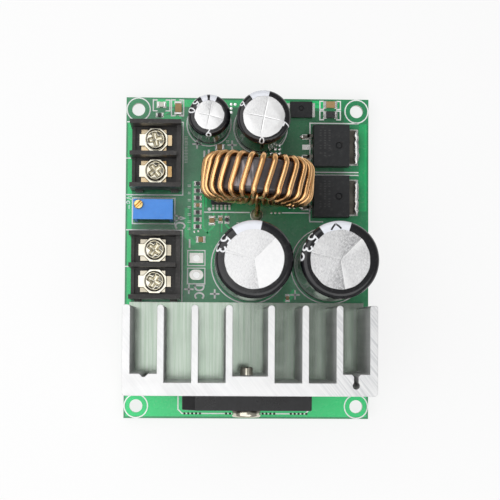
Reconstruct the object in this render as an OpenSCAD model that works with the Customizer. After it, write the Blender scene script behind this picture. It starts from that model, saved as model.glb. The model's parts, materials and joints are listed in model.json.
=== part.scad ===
// Buck converter module with a bridge rectifier on its input: a circuit board that carries an
// extruded heatsink, two screw terminal blocks, a toroidal choke, four electrolytic capacitors,
// a multi-turn trimmer and surface-mounted parts. Millimetres, +Z up from the board.
// The origin is the centre of the mounting holes, on the board's underside.

/* [Circuit board] */
// Width of the board, along X
board_w = 60; // [58:0.5:80]
// Length of the board, along Y
board_l = 79; // [78.5:0.5:100]
// Thickness of the board
board_t = 1.6; // [1:0.1:2.4]
// Distance of each mounting hole from the two edges at its corner
hole_inset = 3; // [2.6:0.1:3.4]
// Diameter of a mounting hole
mount_hole_d = 3.2; // [2.6:0.1:3.4]
// How far every lead sticks out under the board
lead_stick = 1.8; // [1.4:0.1:2.6]
// Height of a solder fillet
solder_h = 0.9; // [0.6:0.05:1.2]
// Gap between a lead and the wall of its hole in the board
lead_gap = 0.15; // [0.1:0.05:0.25]

/* [Wire pads] */
// Length of a wire pad, along X
pad_l = 3.4; // [3:0.1:3.6]
// Width of a wire pad, along Y
pad_w = 2.5; // [2.3:0.1:3]
// Distance between the centres of the two wire pads
pad_pitch = 4.15; // [3.6:0.05:4.6]
// Bore of a wire hole
wire_hole_d = 1.6; // [1.2:0.1:1.9]
// Gap between the input terminals and the wire pads
pad_block_gap = 2.15; // [1.6:0.05:2.6]
// Gap between the wire pads and the left large capacitor
pad_cap_gap = 2.5; // [1.6:0.1:2.8]

/* [Heatsink] */
// Height of the heatsink, along the extrusion
sink_h = 28; // [24:0.5:32]
// Depth from the outer face to the fin tips
sink_d = 20.65; // [18:0.05:22]
// Thickness of an inner fin
fin_t = 1.55; // [1.2:0.05:2]
// Thickness of the two outer fins
outer_fin_t = 1.8; // [1.4:0.1:2.4]
// Distance between neighbouring fins
fin_pitch = 7.8; // [7.4:0.05:7.9]
// Distance between the two fins beside the middle channel
middle_pitch = 9.6; // [9:0.1:9.9]
// Thickness of the base in a plain channel
base_t = 3; // [2.4:0.1:4]
// Thickness of the base in the middle channel, where the screw goes in
screw_base_t = 4.5; // [4:0.1:5.5]
// Thickness of the base in the two end channels, where the grooves are
groove_base_t = 5; // [4.6:0.1:6]
// Radius of the corners of the outer face
sink_corner_r = 0.8; // [0.4:0.1:1.2]
// Gap between the head of the rectifier's screw and the front edge of the board
head_edge = 1.35; // [0.6:0.05:2]
// Diameter of the mounting pins
pin_d = 1.5; // [1.2:0.1:1.7]
// Distance of a groove's centre from the side of the heatsink
groove_inset = 4.95; // [4:0.05:6]
// Distance of a groove's centre from the outer face
groove_in = 2.45; // [2:0.05:2.8]
// Width of the slot that opens a groove into its channel
groove_slot = 1; // [0.6:0.1:1.3]
// Width of the funnel at the mouth of the slot
groove_mouth = 2; // [1.6:0.1:2.6]
// How deep a pin sits in its groove
pin_depth = 8; // [6:0.5:14]
// Thickness of the smeared edge that closes the left groove at the top
burr_t = 0.4; // [0.2:0.1:0.8]
// Thickness of the insulating sheet
sheet_t = 0.4; // [0.2:0.05:0.8]
// How far the sheet shows beyond the fin tips
sheet_margin = 1.1; // [0.6:0.1:1.6]

/* [Bridge rectifier] */
// Width of the rectifier's case
bridge_w = 30; // [26:0.5:32]
// Height of the rectifier's case
bridge_h = 20; // [18:0.5:22]
// Thickness of the rectifier's case
bridge_t = 3.6; // [3.2:0.1:4.6]
// Length of the sloped corner on the positive side
bridge_chamfer = 3; // [2:0.1:4]
// Height of the case above the board
bridge_lift = 2.4; // [1.8:0.1:4]
// Distance from the case's top down to the middle of its screw hole
bridge_hole_drop = 4.6; // [4:0.1:5.4]
// Sideways offset of the rectifier from the middle of the board
bridge_x = -0.5; // [-2:0.1:2]
// Diameter of the rectifier's screw
bridge_screw_d = 3; // [2.5:0.1:3.4]
// Length of the rectifier's screw under its head
bridge_screw_l = 10; // [8.6:0.2:12]
// Diameter of the rectifier screw's head
bridge_head_d = 6.7; // [5.6:0.1:7.2]
// Height of the rectifier screw's head
bridge_head_h = 1.7; // [1.4:0.1:2.2]

/* [Terminal blocks] */
// Distance between neighbouring poles
pole_pitch = 7.62; // [7.4:0.02:7.7]
// Number of poles in a block
poles = 2; // [1:1:2]
// Depth of a block, along X
block_d = 12; // [11.4:0.1:12.8]
// Height of a block
block_h = 12; // [11.4:0.1:13]
// Thickness of the barriers
barrier_t = 1; // [0.8:0.1:1.3]
// How far the barriers stick out past the front lip
barrier_ear = 0.3; // [0.1:0.1:0.5]
// Height of the deck under the contacts
deck_h = 4.2; // [3.8:0.1:4.6]
// Height of the front lip above the deck
lip_h = 0.9; // [0.6:0.1:1.4]
// Height of the back wall above the deck
back_h = 4.4; // [3:0.1:6]
// Thickness of the front lip
lip_t = 0.8; // [0.6:0.1:1]
// Thickness of the back wall
back_t = 1.1; // [0.8:0.1:1.3]
// How far the feet stand proud of the block's ends
foot_out = 0.5; // [0.3:0.05:0.7]
// Distance of the blocks from the left edge of the board
block_edge = 1.7; // [1.4:0.1:2.2]
// Thickness of a contact strip
contact_t = 0.8; // [0.6:0.05:1]
// Thickness of a clamp plate
clamp_t = 0.9; // [0.7:0.05:1.1]
// Width of a clamp plate across its flats
clamp_w = 5.9; // [5.4:0.05:6.1]
// How far a clamp lifts to let a wire in
clamp_lift = 2.5; // [1.5:0.1:2.6]
// Diameter of a terminal screw
terminal_screw_d = 3; // [2.5:0.1:3.4]
// Length of a terminal screw under its head
terminal_screw_l = 5; // [4.6:0.1:5.2]
// Diameter of a terminal screw's head
terminal_head_d = 5; // [4.6:0.1:5.4]
// Height of a terminal screw's head
terminal_head_h = 1.7; // [1.4:0.1:1.9]

/* [Trimmer] */
// Length of the trimmer's body, along X
trimmer_l = 9.53; // [9:0.01:10]
// Width of the trimmer's body, along Y
trimmer_w = 4.83; // [4.4:0.01:5.4]
// Height of the trimmer's body
trimmer_h = 10; // [9:0.1:11]
// Diameter of the trimmer's screw
trimmer_screw_d = 2.2; // [1.8:0.1:2.5]
// Distance of the trimmer's screw from the sides at its corner
trimmer_screw_in = 1.3; // [1.25:0.05:1.5]
// Distance between the trimmer's pins
trimmer_pitch = 2.54; // [2.2:0.02:2.7]
// Distance of the trimmer from the left edge of the board
trimmer_edge = 2.3; // [2:0.1:3]
// Gap between the trimmer and each terminal block
trimmer_gap = 2.35; // [1.8:0.05:2.8]
// Gap between the input terminals and the insulating sheet
block_sheet_gap = 0.1; // [0.05:0.05:0.3]
// Gap between the output terminals and the mounting hole behind them
block_hole_gap = 1.9; // [1.2:0.1:2.6]

/* [Large capacitors] */
// Diameter of a large capacitor over its sleeve
large_d = 18; // [16:0.1:18.4]
// Height of a large capacitor
large_h = 30.3; // [25:0.1:36]
// Width of the sleeve's fold on a large capacitor's top
large_fold = 2.2; // [1.6:0.1:2.8]
// Distance between the leads of a large capacitor
large_pitch = 7.5; // [6.5:0.1:8.5]
// Gap between the two large capacitors
large_gap = 1.55; // [1:0.05:2]
// Gap between the right large capacitor and the edge of the board
large_edge = 0.7; // [0.3:0.05:1.2]
// Gap between the large capacitors and the insulating sheet
large_sheet_gap = 0.3; // [0.1:0.05:0.6]

/* [Rear capacitors] */
// Diameter of the medium capacitor over its sleeve
medium_d = 12.8; // [10:0.1:13]
// Height of the medium capacitor
medium_h = 20; // [16:0.5:25]
// Width of the sleeve's fold on the medium capacitor's top
medium_fold = 1.5; // [1.2:0.1:2.4]
// Distance between the leads of the medium capacitor
medium_pitch = 5; // [4.5:0.1:5.5]
// Diameter of the small capacitor over its sleeve
small_d = 10.2; // [8:0.1:10.4]
// Height of the small capacitor
small_h = 16; // [12:0.5:20]
// Width of the sleeve's fold on the small capacitor's top
small_fold = 1.6; // [1.2:0.1:2.2]
// Distance between the leads of the small capacitor
small_pitch = 5; // [4:0.1:5.5]
// Gap between the output terminals and the small capacitor
small_gap = 1.6; // [1:0.1:2.2]
// Gap between the small capacitor and the medium one
medium_gap = 1.3; // [0.8:0.1:2]
// Gap between the medium capacitor and the back edge of the board
medium_edge = 0.9; // [0.3:0.1:1.4]
// Gap between the small capacitor and the back edge of the board
small_edge = 1.4; // [0.5:0.1:2]

/* [Capacitor construction] */
// Thickness of the plastic sleeves
sleeve_t = 0.15; // [0.1:0.01:0.2]
// Radius of the rounded edge at the top of a can
can_edge_r = 1.1; // [0.8:0.1:1.3]
// Radius of the crimped groove round the foot of a can
crimp_r = 0.8; // [0.6:0.05:1]
// Height of the crimped groove
crimp_z = 3; // [2.6:0.1:4]
// Thickness of the rubber seals
seal_t = 2.2; // [1.8:0.1:2.4]
// Width of the scored vent lines
vent_w = 0.3; // [0.2:0.05:0.4]
// Depth of the scored vent lines
vent_deep = 0.2; // [0.1:0.05:0.3]

/* [Choke] */
// Outer diameter of the choke's core
core_od = 24.3; // [22.5:0.1:25]
// Inner diameter of the choke's core
core_id = 14; // [13.2:0.1:15]
// Thickness of the choke's core, along its axis
core_t = 8; // [6:0.1:9]
// Radius of the core's edges
core_edge_r = 1; // [0.6:0.1:1.4]
// Diameter of the winding's wire
wire_d = 1.2; // [0.8:0.05:1.25]
// Number of turns
turns = 27; // [16:1:27]
// Angle between neighbouring turns
turn_angle = 13; // [12.6:0.1:13]
// Angle of the choke's axis from the board's long side
choke_yaw = -4.5; // [-6:0.5:6]
// Sideways place of the choke
choke_x = 2; // [1:0.1:2.4]
// Gap between the large capacitors and the choke's winding
choke_gap = 5.5; // [5:0.1:6]
// Gap between the choke's winding and the medium capacitor
choke_back_gap = 2.6; // [2:0.1:3.2]
// Height of the winding's lowest point above the board
choke_lift = 0.6; // [0.3:0.1:0.9]

/* [Surface-mounted parts] */
// Length of a transistor's case, along X
mosfet_l = 9.2; // [8.6:0.1:9.6]
// Width of a transistor's case, along Y
mosfet_w = 10.2; // [9.6:0.1:10.6]
// Height of a transistor's case
mosfet_h = 4.4; // [4:0.1:4.7]
// How far a transistor's tab sticks out of its case
tab_out = 2.2; // [1.2:0.1:2.6]
// Thickness of a transistor's tab
tab_t = 1.3; // [1:0.1:1.6]
// Gap between the two transistors
mosfet_gap = 2.3; // [1.8:0.1:2.8]
// Gap between the right large capacitor and the lower transistor
mosfet_cap_gap = 2.7; // [2:0.1:3.4]
// Gap between the upper transistor and the chips behind it
mosfet_chip_gap = 2.2; // [1.6:0.1:2.8]
// Distance of the tabs from the right edge of the board
mosfet_edge = 2.7; // [2.2:0.1:3.4]
// Distance between a transistor's leads
mosfet_pitch = 2.54; // [2.4:0.02:2.7]
// Length of the controller's case, along X
controller_l = 5.1; // [4.8:0.1:5.2]
// Width of the controller's case, along Y
controller_w = 3.9; // [3.6:0.1:4.1]
// Height of the controller's case
controller_h = 1.5; // [1.3:0.05:1.7]
// Distance between the controller's leads
controller_pitch = 1; // [0.9:0.01:1.1]
// Length of the diode's case, along X
diode_l = 5.6; // [5.2:0.1:6]
// Width of the diode's case, along Y
diode_w = 4; // [3.6:0.1:4.4]
// Height of the diode's case
diode_h = 1.1; // [0.9:0.1:1.4]
// Gap between the medium capacitor and the diode
diode_gap = 0.3; // [0.2:0.05:0.6]
// Gap between the diode and the edge of the board
diode_edge = 0.75; // [0.4:0.05:1.2]
// Gap between the diode and the chips beside it
chip_gap = 2.4; // [1.6:0.1:3]
// Gap between two rows of chips at the back edge
chip_row_gap = 0.9; // [0.5:0.1:1.4]
// Gap between the rear chips and the edge of the board
chip_edge = 0.6; // [0.3:0.05:1]

/* [Hidden] */
$fn = 48;

// Clearances: a turning or sliding fit, a soldered fit, and a cut's overshoot past a face
run_fit = 0.05;
solder_fit = 0.03;
past = 1;

// The board's edges and top
board_left = -board_w / 2;
board_right = board_w / 2;
board_front = -board_l / 2;
board_back = board_l / 2;
top = board_t;

// The gaps in a row or column stretch or shrink together, so that its pieces fill the board
function sum(list) = list * [for (item = list) 1];
function gap_fit(room, pieces, gaps) = (room - sum(pieces)) / sum(gaps);

// Chip sizes as length, width and height, and the length of an end cap
size_0603 = [1.6, 0.8, 0.5, 0.3];
size_0805 = [2, 1.25, 0.6, 0.4];
size_1206 = [3.2, 1.6, 0.7, 0.5];

// The left column: rectifier, heatsink, two terminal blocks with the trimmer between, and a hole
block_l = poles * pole_pitch + barrier_t;
block_span = block_l + 2 * foot_out;
hole_reach = hole_inset + mount_hole_d / 2;
left_fit = gap_fit(board_l,
  [bridge_head_h, bridge_t, sink_d, 2 * block_span, trimmer_w, hole_reach],
  [head_edge, sheet_margin, block_sheet_gap, 2 * trimmer_gap, block_hole_gap]);

// Heatsink, sheet and rectifier
sink_w = middle_pitch + 6 * fin_pitch + outer_fin_t;
sink_face = board_front + head_edge * left_fit + bridge_head_h + bridge_t;
sink_tips = sink_face + sink_d;
sink_z = top + sheet_t;
sheet_back = sink_tips + sheet_margin * left_fit;
sheet_inset = 0.3;
groove_x = sink_w / 2 - groove_inset;
bridge_hole_z = bridge_lift + bridge_h - bridge_hole_drop;
bridge_lead = [1, 0.7];
bridge_shoulder = [1.9, 1.6];
bridge_lead_places = [-12.5, -2.5, 5, 12.5];

// Terminal blocks and trimmer
block_left = board_left + block_edge;
block_right = block_left + block_d;
input_y = sheet_back + block_sheet_gap * left_fit + block_span / 2;
trimmer_y = input_y + block_span / 2 + trimmer_gap * left_fit + trimmer_w / 2;
output_y = trimmer_y + trimmer_w / 2 + trimmer_gap * left_fit + block_span / 2;
screw_in = 5.75;
screw_x = block_left + screw_in;
screw_hole_gap = 0.3;
contact_w = 5.2;
contact_reach = 3.5;
contact_tail = [0.9, 2.6];
tail_x = screw_x + contact_reach;
contact_pin = [0.8, 1];
clamp_z = top + deck_h + contact_t + run_fit;
clamp_tab = [1, 3];
head_z = clamp_z + clamp_t;
trimmer_x = board_left + trimmer_edge + trimmer_l / 2;
trimmer_screw_x = trimmer_x - trimmer_l / 2 + trimmer_screw_in;
trimmer_screw_y = trimmer_y + trimmer_w / 2 - trimmer_screw_in;
trimmer_foot = [0.9, 0.5];
trimmer_pin_d = 0.5;

// The front row: input terminals, wire pads and the two large capacitors
front_fit = gap_fit(board_w - block_edge, [block_d, pad_l, 2 * large_d],
  [pad_block_gap, pad_cap_gap, large_gap, large_edge]);
pads_x = block_right + pad_block_gap * front_fit + pad_l / 2;
left_x = pads_x + pad_l / 2 + pad_cap_gap * front_fit + large_d / 2;
right_x = left_x + large_d + large_gap * front_fit;
large_y = sheet_back + large_sheet_gap * left_fit + large_d / 2;
large_back = large_y + large_d / 2;
pads_y = large_y - 0.45;
pad_t = 0.1;
pad_wall = 0.25;

// The rear row: output terminals, small and medium capacitors, diode, chips and a hole
terminal_out = 0.5;
diode_span = diode_l + 2 * terminal_out;
chip_hole_gap = 3.3;
rear_fit = gap_fit(board_w - block_edge - block_d - hole_reach,
  [small_d, medium_d, diode_span, size_1206[0]],
  [small_gap, medium_gap, diode_gap, chip_gap, chip_hole_gap]);
small_x = block_right + small_gap * rear_fit + small_d / 2;
medium_x = small_x + small_d / 2 + medium_gap * rear_fit + medium_d / 2;
diode_x = medium_x + medium_d / 2 + diode_gap * rear_fit + diode_span / 2;
rear_chips_x = diode_x + diode_span / 2 + chip_gap * rear_fit + size_1206[0] / 2;
small_y = board_back - small_edge * left_fit - small_d / 2;
medium_y = board_back - medium_edge * left_fit - medium_d / 2;

// Capacitor leads and vents
large_lead_d = 0.8;
small_lead_d = 0.6;
three_arms = [45, 165, 280];
four_arms = [35, 125, 215, 305];

// The middle column: the choke stands between the large capacitors and the medium one
wire_r = wire_d / 2;
winding_gap = 0.05;
section_r = wire_r + winding_gap;
wind_outer = core_od / 2 + section_r;
wind_inner = core_id / 2 - section_r;
wind_half = core_t / 2 + section_r;
wind_corner = section_r + core_edge_r;
choke_depth = 2 * (wind_half + wire_r);
choke_fit = gap_fit(board_back - medium_edge * left_fit - large_back, [medium_d, choke_depth],
  [choke_gap, choke_back_gap]);
choke_y = large_back + choke_gap * choke_fit + choke_depth / 2;
choke_z = top + choke_lift + wind_outer + wire_r;
front_tail_y = -wind_half - choke_gap * choke_fit / 2;
back_tail_y = wind_half + choke_back_gap * choke_fit * 0.6;
tail_angle = 4;
tail_offset = wind_outer * sin(tail_angle);

// The right column: the large capacitor, the two transistors and two rows of chips
right_fit = gap_fit(board_back - large_back, [2 * mosfet_w, 2 * size_1206[1]],
  [mosfet_cap_gap, mosfet_gap, mosfet_chip_gap, chip_row_gap, chip_edge]);
mosfet_right = board_right - mosfet_edge - tab_out;
mosfet_left = mosfet_right - mosfet_l;
lower_mosfet_y = large_back + mosfet_cap_gap * right_fit + mosfet_w / 2;
upper_mosfet_y = lower_mosfet_y + mosfet_w + mosfet_gap * right_fit;
diode_y = board_back - diode_edge * right_fit - diode_w / 2;
rear_chip_y = board_back - chip_edge * right_fit - size_1206[1] / 2;
front_chip_y = rear_chip_y - size_1206[1] - chip_row_gap * right_fit;
controller_x = choke_x - 8.4;
controller_y = choke_y - 3.05;

// The chips behind the output terminals, and the column beside the trimmer
output_back = output_y + block_span / 2;
corner_fit = gap_fit(board_back - output_back, [size_0603[1], size_0805[1]], [1.75, 1.55, 1.15]);
led_y = board_back - 1.15 * corner_fit - size_0805[1] / 2;
led_resistor_y = led_y - size_0805[1] / 2 - 1.55 * corner_fit - size_0603[1] / 2;
column_x = (block_right + controller_x - controller_l / 2) / 2 + 0.4;
column_pitch = 1.775;
column_top = trimmer_y + 7.2;

// Chip places as x, y, turn and size
led_place = [board_left + 8.6, led_y, 0, size_0805];
capacitor_places = [
  [block_right - size_1206[1] / 2 - 0.1, board_back - 1 - size_1206[0] / 2, 90, size_1206],
  [rear_chips_x, rear_chip_y, 0, size_1206],
  [column_x, column_top - 3 * column_pitch, 0, size_0603],
  [column_x + 0.8, trimmer_y - 6.6, 0, size_0805],
  [controller_x - 2.3, controller_y - 5.8, 90, size_0805],
  [controller_x - 0.2, controller_y - 5.5, 90, size_0603],
  [small_x + 2.7, small_y - small_d / 2 - 0.6, 0, size_0805],
  [(left_x + right_x) / 2 - 0.5, large_y - large_d / 2 + 0.9, 90, size_0603]];
resistor_places = concat(
  [[board_left + 8.2, led_resistor_y, 0, size_0603],
   [rear_chips_x, front_chip_y, 0, size_1206],
   [controller_x + 1.4, controller_y - 5.6, 90, size_0603]],
  [for (i = [0 : 6]) if (i != 3) [column_x, column_top - i * column_pitch, 0, size_0603]]);

// Every lead that goes through the board, as x, y and radius
function pair(x, y, pitch, r) = [for (side = [-1, 1]) [x, y + side * pitch / 2, r]];
function half_diagonal(size) = norm(size) / 2;
function pole_y(i) = (i - (poles - 1) / 2) * pole_pitch;
function turned(x, y) = [
  choke_x + x * cos(choke_yaw) - y * sin(choke_yaw),
  choke_y + x * sin(choke_yaw) + y * cos(choke_yaw)];
choke_spots = [for (y = [front_tail_y, back_tail_y]) concat(turned(tail_offset, y), [wire_r])];
lead_spots = concat(
  pair(right_x, large_y, large_pitch, large_lead_d / 2),
  pair(left_x, large_y, large_pitch, large_lead_d / 2),
  pair(medium_x, medium_y, medium_pitch, small_lead_d / 2),
  pair(small_x, small_y, small_pitch, small_lead_d / 2),
  choke_spots,
  [for (side = [-1, 1]) [side * groove_x, sink_face + groove_in, pin_d / 2]],
  [for (x = bridge_lead_places)
    [bridge_x + x, sink_face - bridge_t / 2, half_diagonal(bridge_lead)]],
  [for (y = [input_y, output_y]) for (i = [0 : poles - 1])
    [tail_x, y + pole_y(i), half_diagonal(contact_pin)]],
  [for (i = [-1 : 1]) [trimmer_x + i * trimmer_pitch, trimmer_y, trimmer_pin_d / 2]]);

// Helpers

// A block from its low corner, given by two opposite corners
module block(low, high) translate(low) cube(high - low);

// What is cut from a square corner at the origin to round it
module corner_cut(r) difference() {
  square(r);
  translate([r, r]) circle(r);
}

// A rectangle with all corners round, centred
module round_rect(size, r) {
  square([size[0] - 2 * r, size[1]], center = true);
  square([size[0], size[1] - 2 * r], center = true);
  for (x = [-1, 1]) for (y = [-1, 1])
    translate([x * (size[0] / 2 - r), y * (size[1] / 2 - r)]) circle(r);
}

// A cross recess for a screwdriver, cut down from z = 0
module cross_recess(span, width, deep) {
  for (turn = [0, 90]) rotate(turn)
    translate([-span / 2, -width / 2, -deep]) cube([span, width, deep + past]);
}

// A ring of solder that rises from a pad along a lead, with a hollow flank
module fillet(lead_r) {
  bore_r = lead_r + solder_fit;
  rim = 0.15;
  rotate_extrude() difference() {
    translate([bore_r, 0]) square([solder_h, solder_h]);
    translate([bore_r + solder_h, solder_h]) circle(solder_h - rim);
  }
}

// Circuit board

module circuit_board() color("seagreen") difference() {
  translate([board_left, board_front, 0]) cube([board_w, board_l, board_t]);
  for (x = [-1, 1]) for (y = [-1, 1])
    translate([x * (board_w / 2 - hole_inset), y * (board_l / 2 - hole_inset), -past])
      cylinder(d = mount_hole_d, h = board_t + 2 * past);
  for (spot = lead_spots) translate([spot[0], spot[1], -past])
    cylinder(r = spot[2] + lead_gap, h = board_t + 2 * past);
  wire_holes(wire_hole_d / 2 + pad_wall + solder_fit);
}

module wire_holes(r) {
  for (side = [-1, 1]) translate([pads_x, pads_y + side * pad_pitch / 2, -past])
    cylinder(r = r, h = board_t + 2 * past);
}

// The plated wire pads: a square one and a long round one, each with its plated hole
module wire_pads() color("silver") difference() {
  union() {
    for (z = [-pad_t, top]) translate([pads_x, 0, z]) linear_extrude(pad_t) {
      translate([0, pads_y + pad_pitch / 2]) square([pad_l, pad_w], center = true);
      translate([0, pads_y - pad_pitch / 2]) {
        square([pad_l - pad_w, pad_w], center = true);
        for (side = [-1, 1]) translate([side * (pad_l - pad_w) / 2, 0]) circle(d = pad_w);
      }
    }
    for (side = [-1, 1]) translate([pads_x, pads_y + side * pad_pitch / 2, 0])
      cylinder(r = wire_hole_d / 2 + pad_wall, h = board_t);
  }
  wire_holes(wire_hole_d / 2);
}

module solder_joints() color("gainsboro") {
  for (spot = lead_spots) translate([spot[0], spot[1], 0]) mirror([0, 0, 1]) fillet(spot[2]);
  translate([choke_spots[0][0], choke_spots[0][1], top]) fillet(wire_r);
}

// Heatsink and its sheet

module insulating_sheet() color("slategray") difference() {
  block([-sink_w / 2 + sheet_inset, sink_face - sheet_inset, top],
    [sink_w / 2 - sheet_inset, sheet_back, top + sheet_t]);
  for (side = [-1, 1]) translate([side * groove_x, sink_face + groove_in, 0])
    cylinder(d = pin_d + 2 * lead_gap, h = sink_z + past);
}

// One half of the extruded profile, from the middle of the outer face towards +X and +Y
module half_profile() {
  inner_fins = [for (i = [0 : 2]) middle_pitch / 2 + i * fin_pitch];
  difference() {
    union() {
      square([sink_w / 2, base_t]);
      square([middle_pitch / 2, screw_base_t]);
      translate([inner_fins[2], 0]) square([sink_w / 2 - inner_fins[2], groove_base_t]);
      for (x = inner_fins) {
        translate([x - fin_t / 2, 0]) square([fin_t, sink_d - fin_t / 2]);
        translate([x, sink_d - fin_t / 2]) circle(d = fin_t);
      }
      translate([sink_w / 2 - outer_fin_t, 0]) square([outer_fin_t, sink_d]);
    }
    translate([sink_w / 2, 0]) mirror([1, 0]) corner_cut(sink_corner_r);
    translate([sink_w / 2, sink_d]) rotate(180) corner_cut(outer_fin_t / 3);
    translate([sink_w / 2 - outer_fin_t, sink_d]) mirror([0, 1]) corner_cut(outer_fin_t / 3);
  }
}

// The funnel at the mouth of a groove's slot
module groove_mouth_shape() {
  funnel = (groove_mouth - groove_slot) / 2 + 0.2;
  translate([0, groove_base_t]) polygon([[-groove_mouth / 2, past], [-groove_mouth / 2, 0],
    [-groove_slot / 2 + 0.2, -funnel], [groove_slot / 2 - 0.2, -funnel],
    [groove_mouth / 2, 0], [groove_mouth / 2, past]]);
}

module groove_shape() {
  translate([0, groove_in]) circle(d = pin_d + 2 * run_fit);
  translate([-groove_slot / 2, groove_in]) square([groove_slot, groove_base_t - groove_in]);
  groove_mouth_shape();
}

module heatsink() color("lightgray") translate([0, sink_face, sink_z]) difference() {
  for (side = [0, 1]) mirror([side, 0, 0]) linear_extrude(sink_h) half_profile();
  translate([groove_x, 0, -past]) linear_extrude(sink_h + 2 * past) groove_shape();
  translate([-groove_x, 0, -past]) linear_extrude(sink_h + past - burr_t) groove_shape();
  translate([-groove_x, 0, -past]) linear_extrude(sink_h + 2 * past) groove_mouth_shape();
  translate([bridge_x, -past, bridge_hole_z - sheet_t]) rotate([-90, 0, 0])
    cylinder(d = bridge_screw_d, h = screw_base_t + 2 * past);
}

module heatsink_pins() color("silver") {
  for (side = [-1, 1]) translate([side * groove_x, sink_face + groove_in, -lead_stick])
    cylinder(d = pin_d, h = lead_stick + sink_z + pin_depth);
}

// Bridge rectifier

module bridge_rectifier() color("dimgray")
  translate([bridge_x, sink_face, top]) rotate([90, 0, 0]) difference() {
    linear_extrude(bridge_t) polygon([
      [-bridge_w / 2, bridge_lift], [bridge_w / 2, bridge_lift],
      [bridge_w / 2, bridge_lift + bridge_h],
      [-bridge_w / 2 + bridge_chamfer, bridge_lift + bridge_h],
      [-bridge_w / 2, bridge_lift + bridge_h - bridge_chamfer]]);
    translate([0, bridge_hole_z, -past])
      cylinder(d = bridge_screw_d + 0.4, h = bridge_t + 2 * past);
  }

module bridge_leads() color("silver") translate([bridge_x, sink_face - bridge_t / 2, 0])
  for (x = bridge_lead_places) translate([x, 0, 0]) {
    block([-bridge_lead[0] / 2, -bridge_lead[1] / 2, -lead_stick],
      [bridge_lead[0] / 2, bridge_lead[1] / 2, top + bridge_lift]);
    block([-bridge_shoulder[0] / 2, -bridge_lead[1] / 2, top + bridge_lift - bridge_shoulder[1]],
      [bridge_shoulder[0] / 2, bridge_lead[1] / 2, top + bridge_lift]);
  }

// A low domed head that stands on z = 0
module domed_head(d, h) {
  ball_r = (d * d / 4 + h * h) / (2 * h);
  intersection() {
    translate([0, 0, h - ball_r]) sphere(ball_r);
    cylinder(d = d, h = h);
  }
}

module bridge_screw() color("silver")
  translate([bridge_x, sink_face - bridge_t, top + bridge_hole_z]) rotate([90, 0, 0]) {
    difference() {
      domed_head(bridge_head_d, bridge_head_h);
      translate([0, 0, bridge_head_h])
        cross_recess(bridge_head_d / 2, bridge_screw_d / 5, bridge_head_h * 0.6);
    }
    translate([0, 0, -bridge_screw_l]) screw_shank(bridge_screw_d, bridge_screw_l);
  }

// A screw's shank with a chamfered tip at z = 0
module screw_shank(d, l) {
  r = d / 2 - run_fit;
  tip = d / 8;
  translate([0, 0, tip]) cylinder(r = r, h = l - tip);
  cylinder(r1 = r - tip, r2 = r, h = tip);
}

// Terminal blocks

module housing() difference() {
  union() {
    block([block_left, -block_l / 2, top], [block_right, block_l / 2, top + deck_h]);
    block([block_left, -block_l / 2, top + deck_h],
      [block_left + lip_t, block_l / 2, top + deck_h + lip_h]);
    block([block_right - back_t, -block_l / 2, top + deck_h],
      [block_right, block_l / 2, top + deck_h + back_h]);
    for (i = [0 : poles]) translate([0, pole_y(i - 0.5), 0])
      block([block_left - barrier_ear, -barrier_t / 2, top],
        [block_right - (i == 0 || i == poles ? 0 : back_t), barrier_t / 2, top + block_h]);
    for (side = [0, 1]) mirror([0, side, 0]) housing_feet();
  }
  for (side = [-1, 1]) housing_arch(side * block_l / 2);
  for (i = [0 : poles - 1]) translate([0, pole_y(i), 0]) {
    translate([screw_x, 0, top + 0.4])
      cylinder(d = terminal_screw_d + 2 * screw_hole_gap, h = deck_h);
    block([tail_x - contact_tail[0] / 2 - run_fit, -contact_tail[1] / 2 - run_fit, 0],
      [tail_x + contact_tail[0] / 2 + run_fit, contact_tail[1] / 2 + run_fit,
        top + deck_h + past]);
  }
}

// Two feet that stand proud of one end
module housing_feet() {
  for (x = [block_left + 0.8, block_right - 2.5])
    block([x, block_l / 2 - barrier_t, top], [x + 1.8, block_l / 2 + foot_out, top + deck_h]);
}

// The arched recess between the feet, in the end wall
module housing_arch(y) {
  arch_r = (block_d - 5.1) / 2;
  translate([block_left + 2.6 + arch_r, y, top]) rotate([90, 0, 0])
    cylinder(r = arch_r, h = barrier_t, center = true);
}

module contacts() for (i = [0 : poles - 1]) translate([0, pole_y(i), 0]) {
  difference() {
    union() {
      block([screw_x - contact_reach, -contact_w / 2, top + deck_h],
        [screw_x + contact_w / 2, contact_w / 2, top + deck_h + contact_t]);
      block([screw_x, -contact_tail[1] / 2, top + deck_h],
        [tail_x + contact_tail[0] / 2, contact_tail[1] / 2, top + deck_h + contact_t]);
    }
    translate([screw_x, 0, top]) cylinder(d = terminal_screw_d, h = deck_h + contact_t + past);
  }
  block([tail_x - contact_tail[0] / 2, -contact_tail[1] / 2, top + contact_pin[1]],
    [tail_x + contact_tail[0] / 2, contact_tail[1] / 2, top + deck_h]);
  block([tail_x - contact_pin[0] / 2, -contact_pin[1] / 2, -lead_stick],
    [tail_x + contact_pin[0] / 2, contact_pin[1] / 2, top + contact_pin[1]]);
}

// A clamp plate with eight sides, a round hole and a tab towards the wire
module clamp(y) translate([screw_x, y, clamp_z]) difference() {
  union() {
    rotate(22.5) cylinder(d = clamp_w / cos(22.5), h = clamp_t, $fn = 8);
    block([-clamp_w / 2 - clamp_tab[0], -clamp_tab[1] / 2, 0], [0, clamp_tab[1] / 2, clamp_t]);
  }
  translate([0, 0, -past]) cylinder(d = terminal_screw_d, h = clamp_t + 2 * past);
}

module terminal_screw(y) translate([screw_x, y, head_z]) {
  edge_r = terminal_head_h / 2;
  difference() {
    rotate_extrude() difference() {
      square([terminal_head_d / 2, terminal_head_h]);
      translate([terminal_head_d / 2, terminal_head_h]) rotate(180) corner_cut(edge_r);
    }
    translate([0, 0, terminal_head_h])
      cross_recess(terminal_head_d * 0.62, terminal_head_d / 6, terminal_head_h * 0.6);
  }
  translate([0, 0, -terminal_screw_l]) screw_shank(terminal_screw_d, terminal_screw_l);
}

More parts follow.
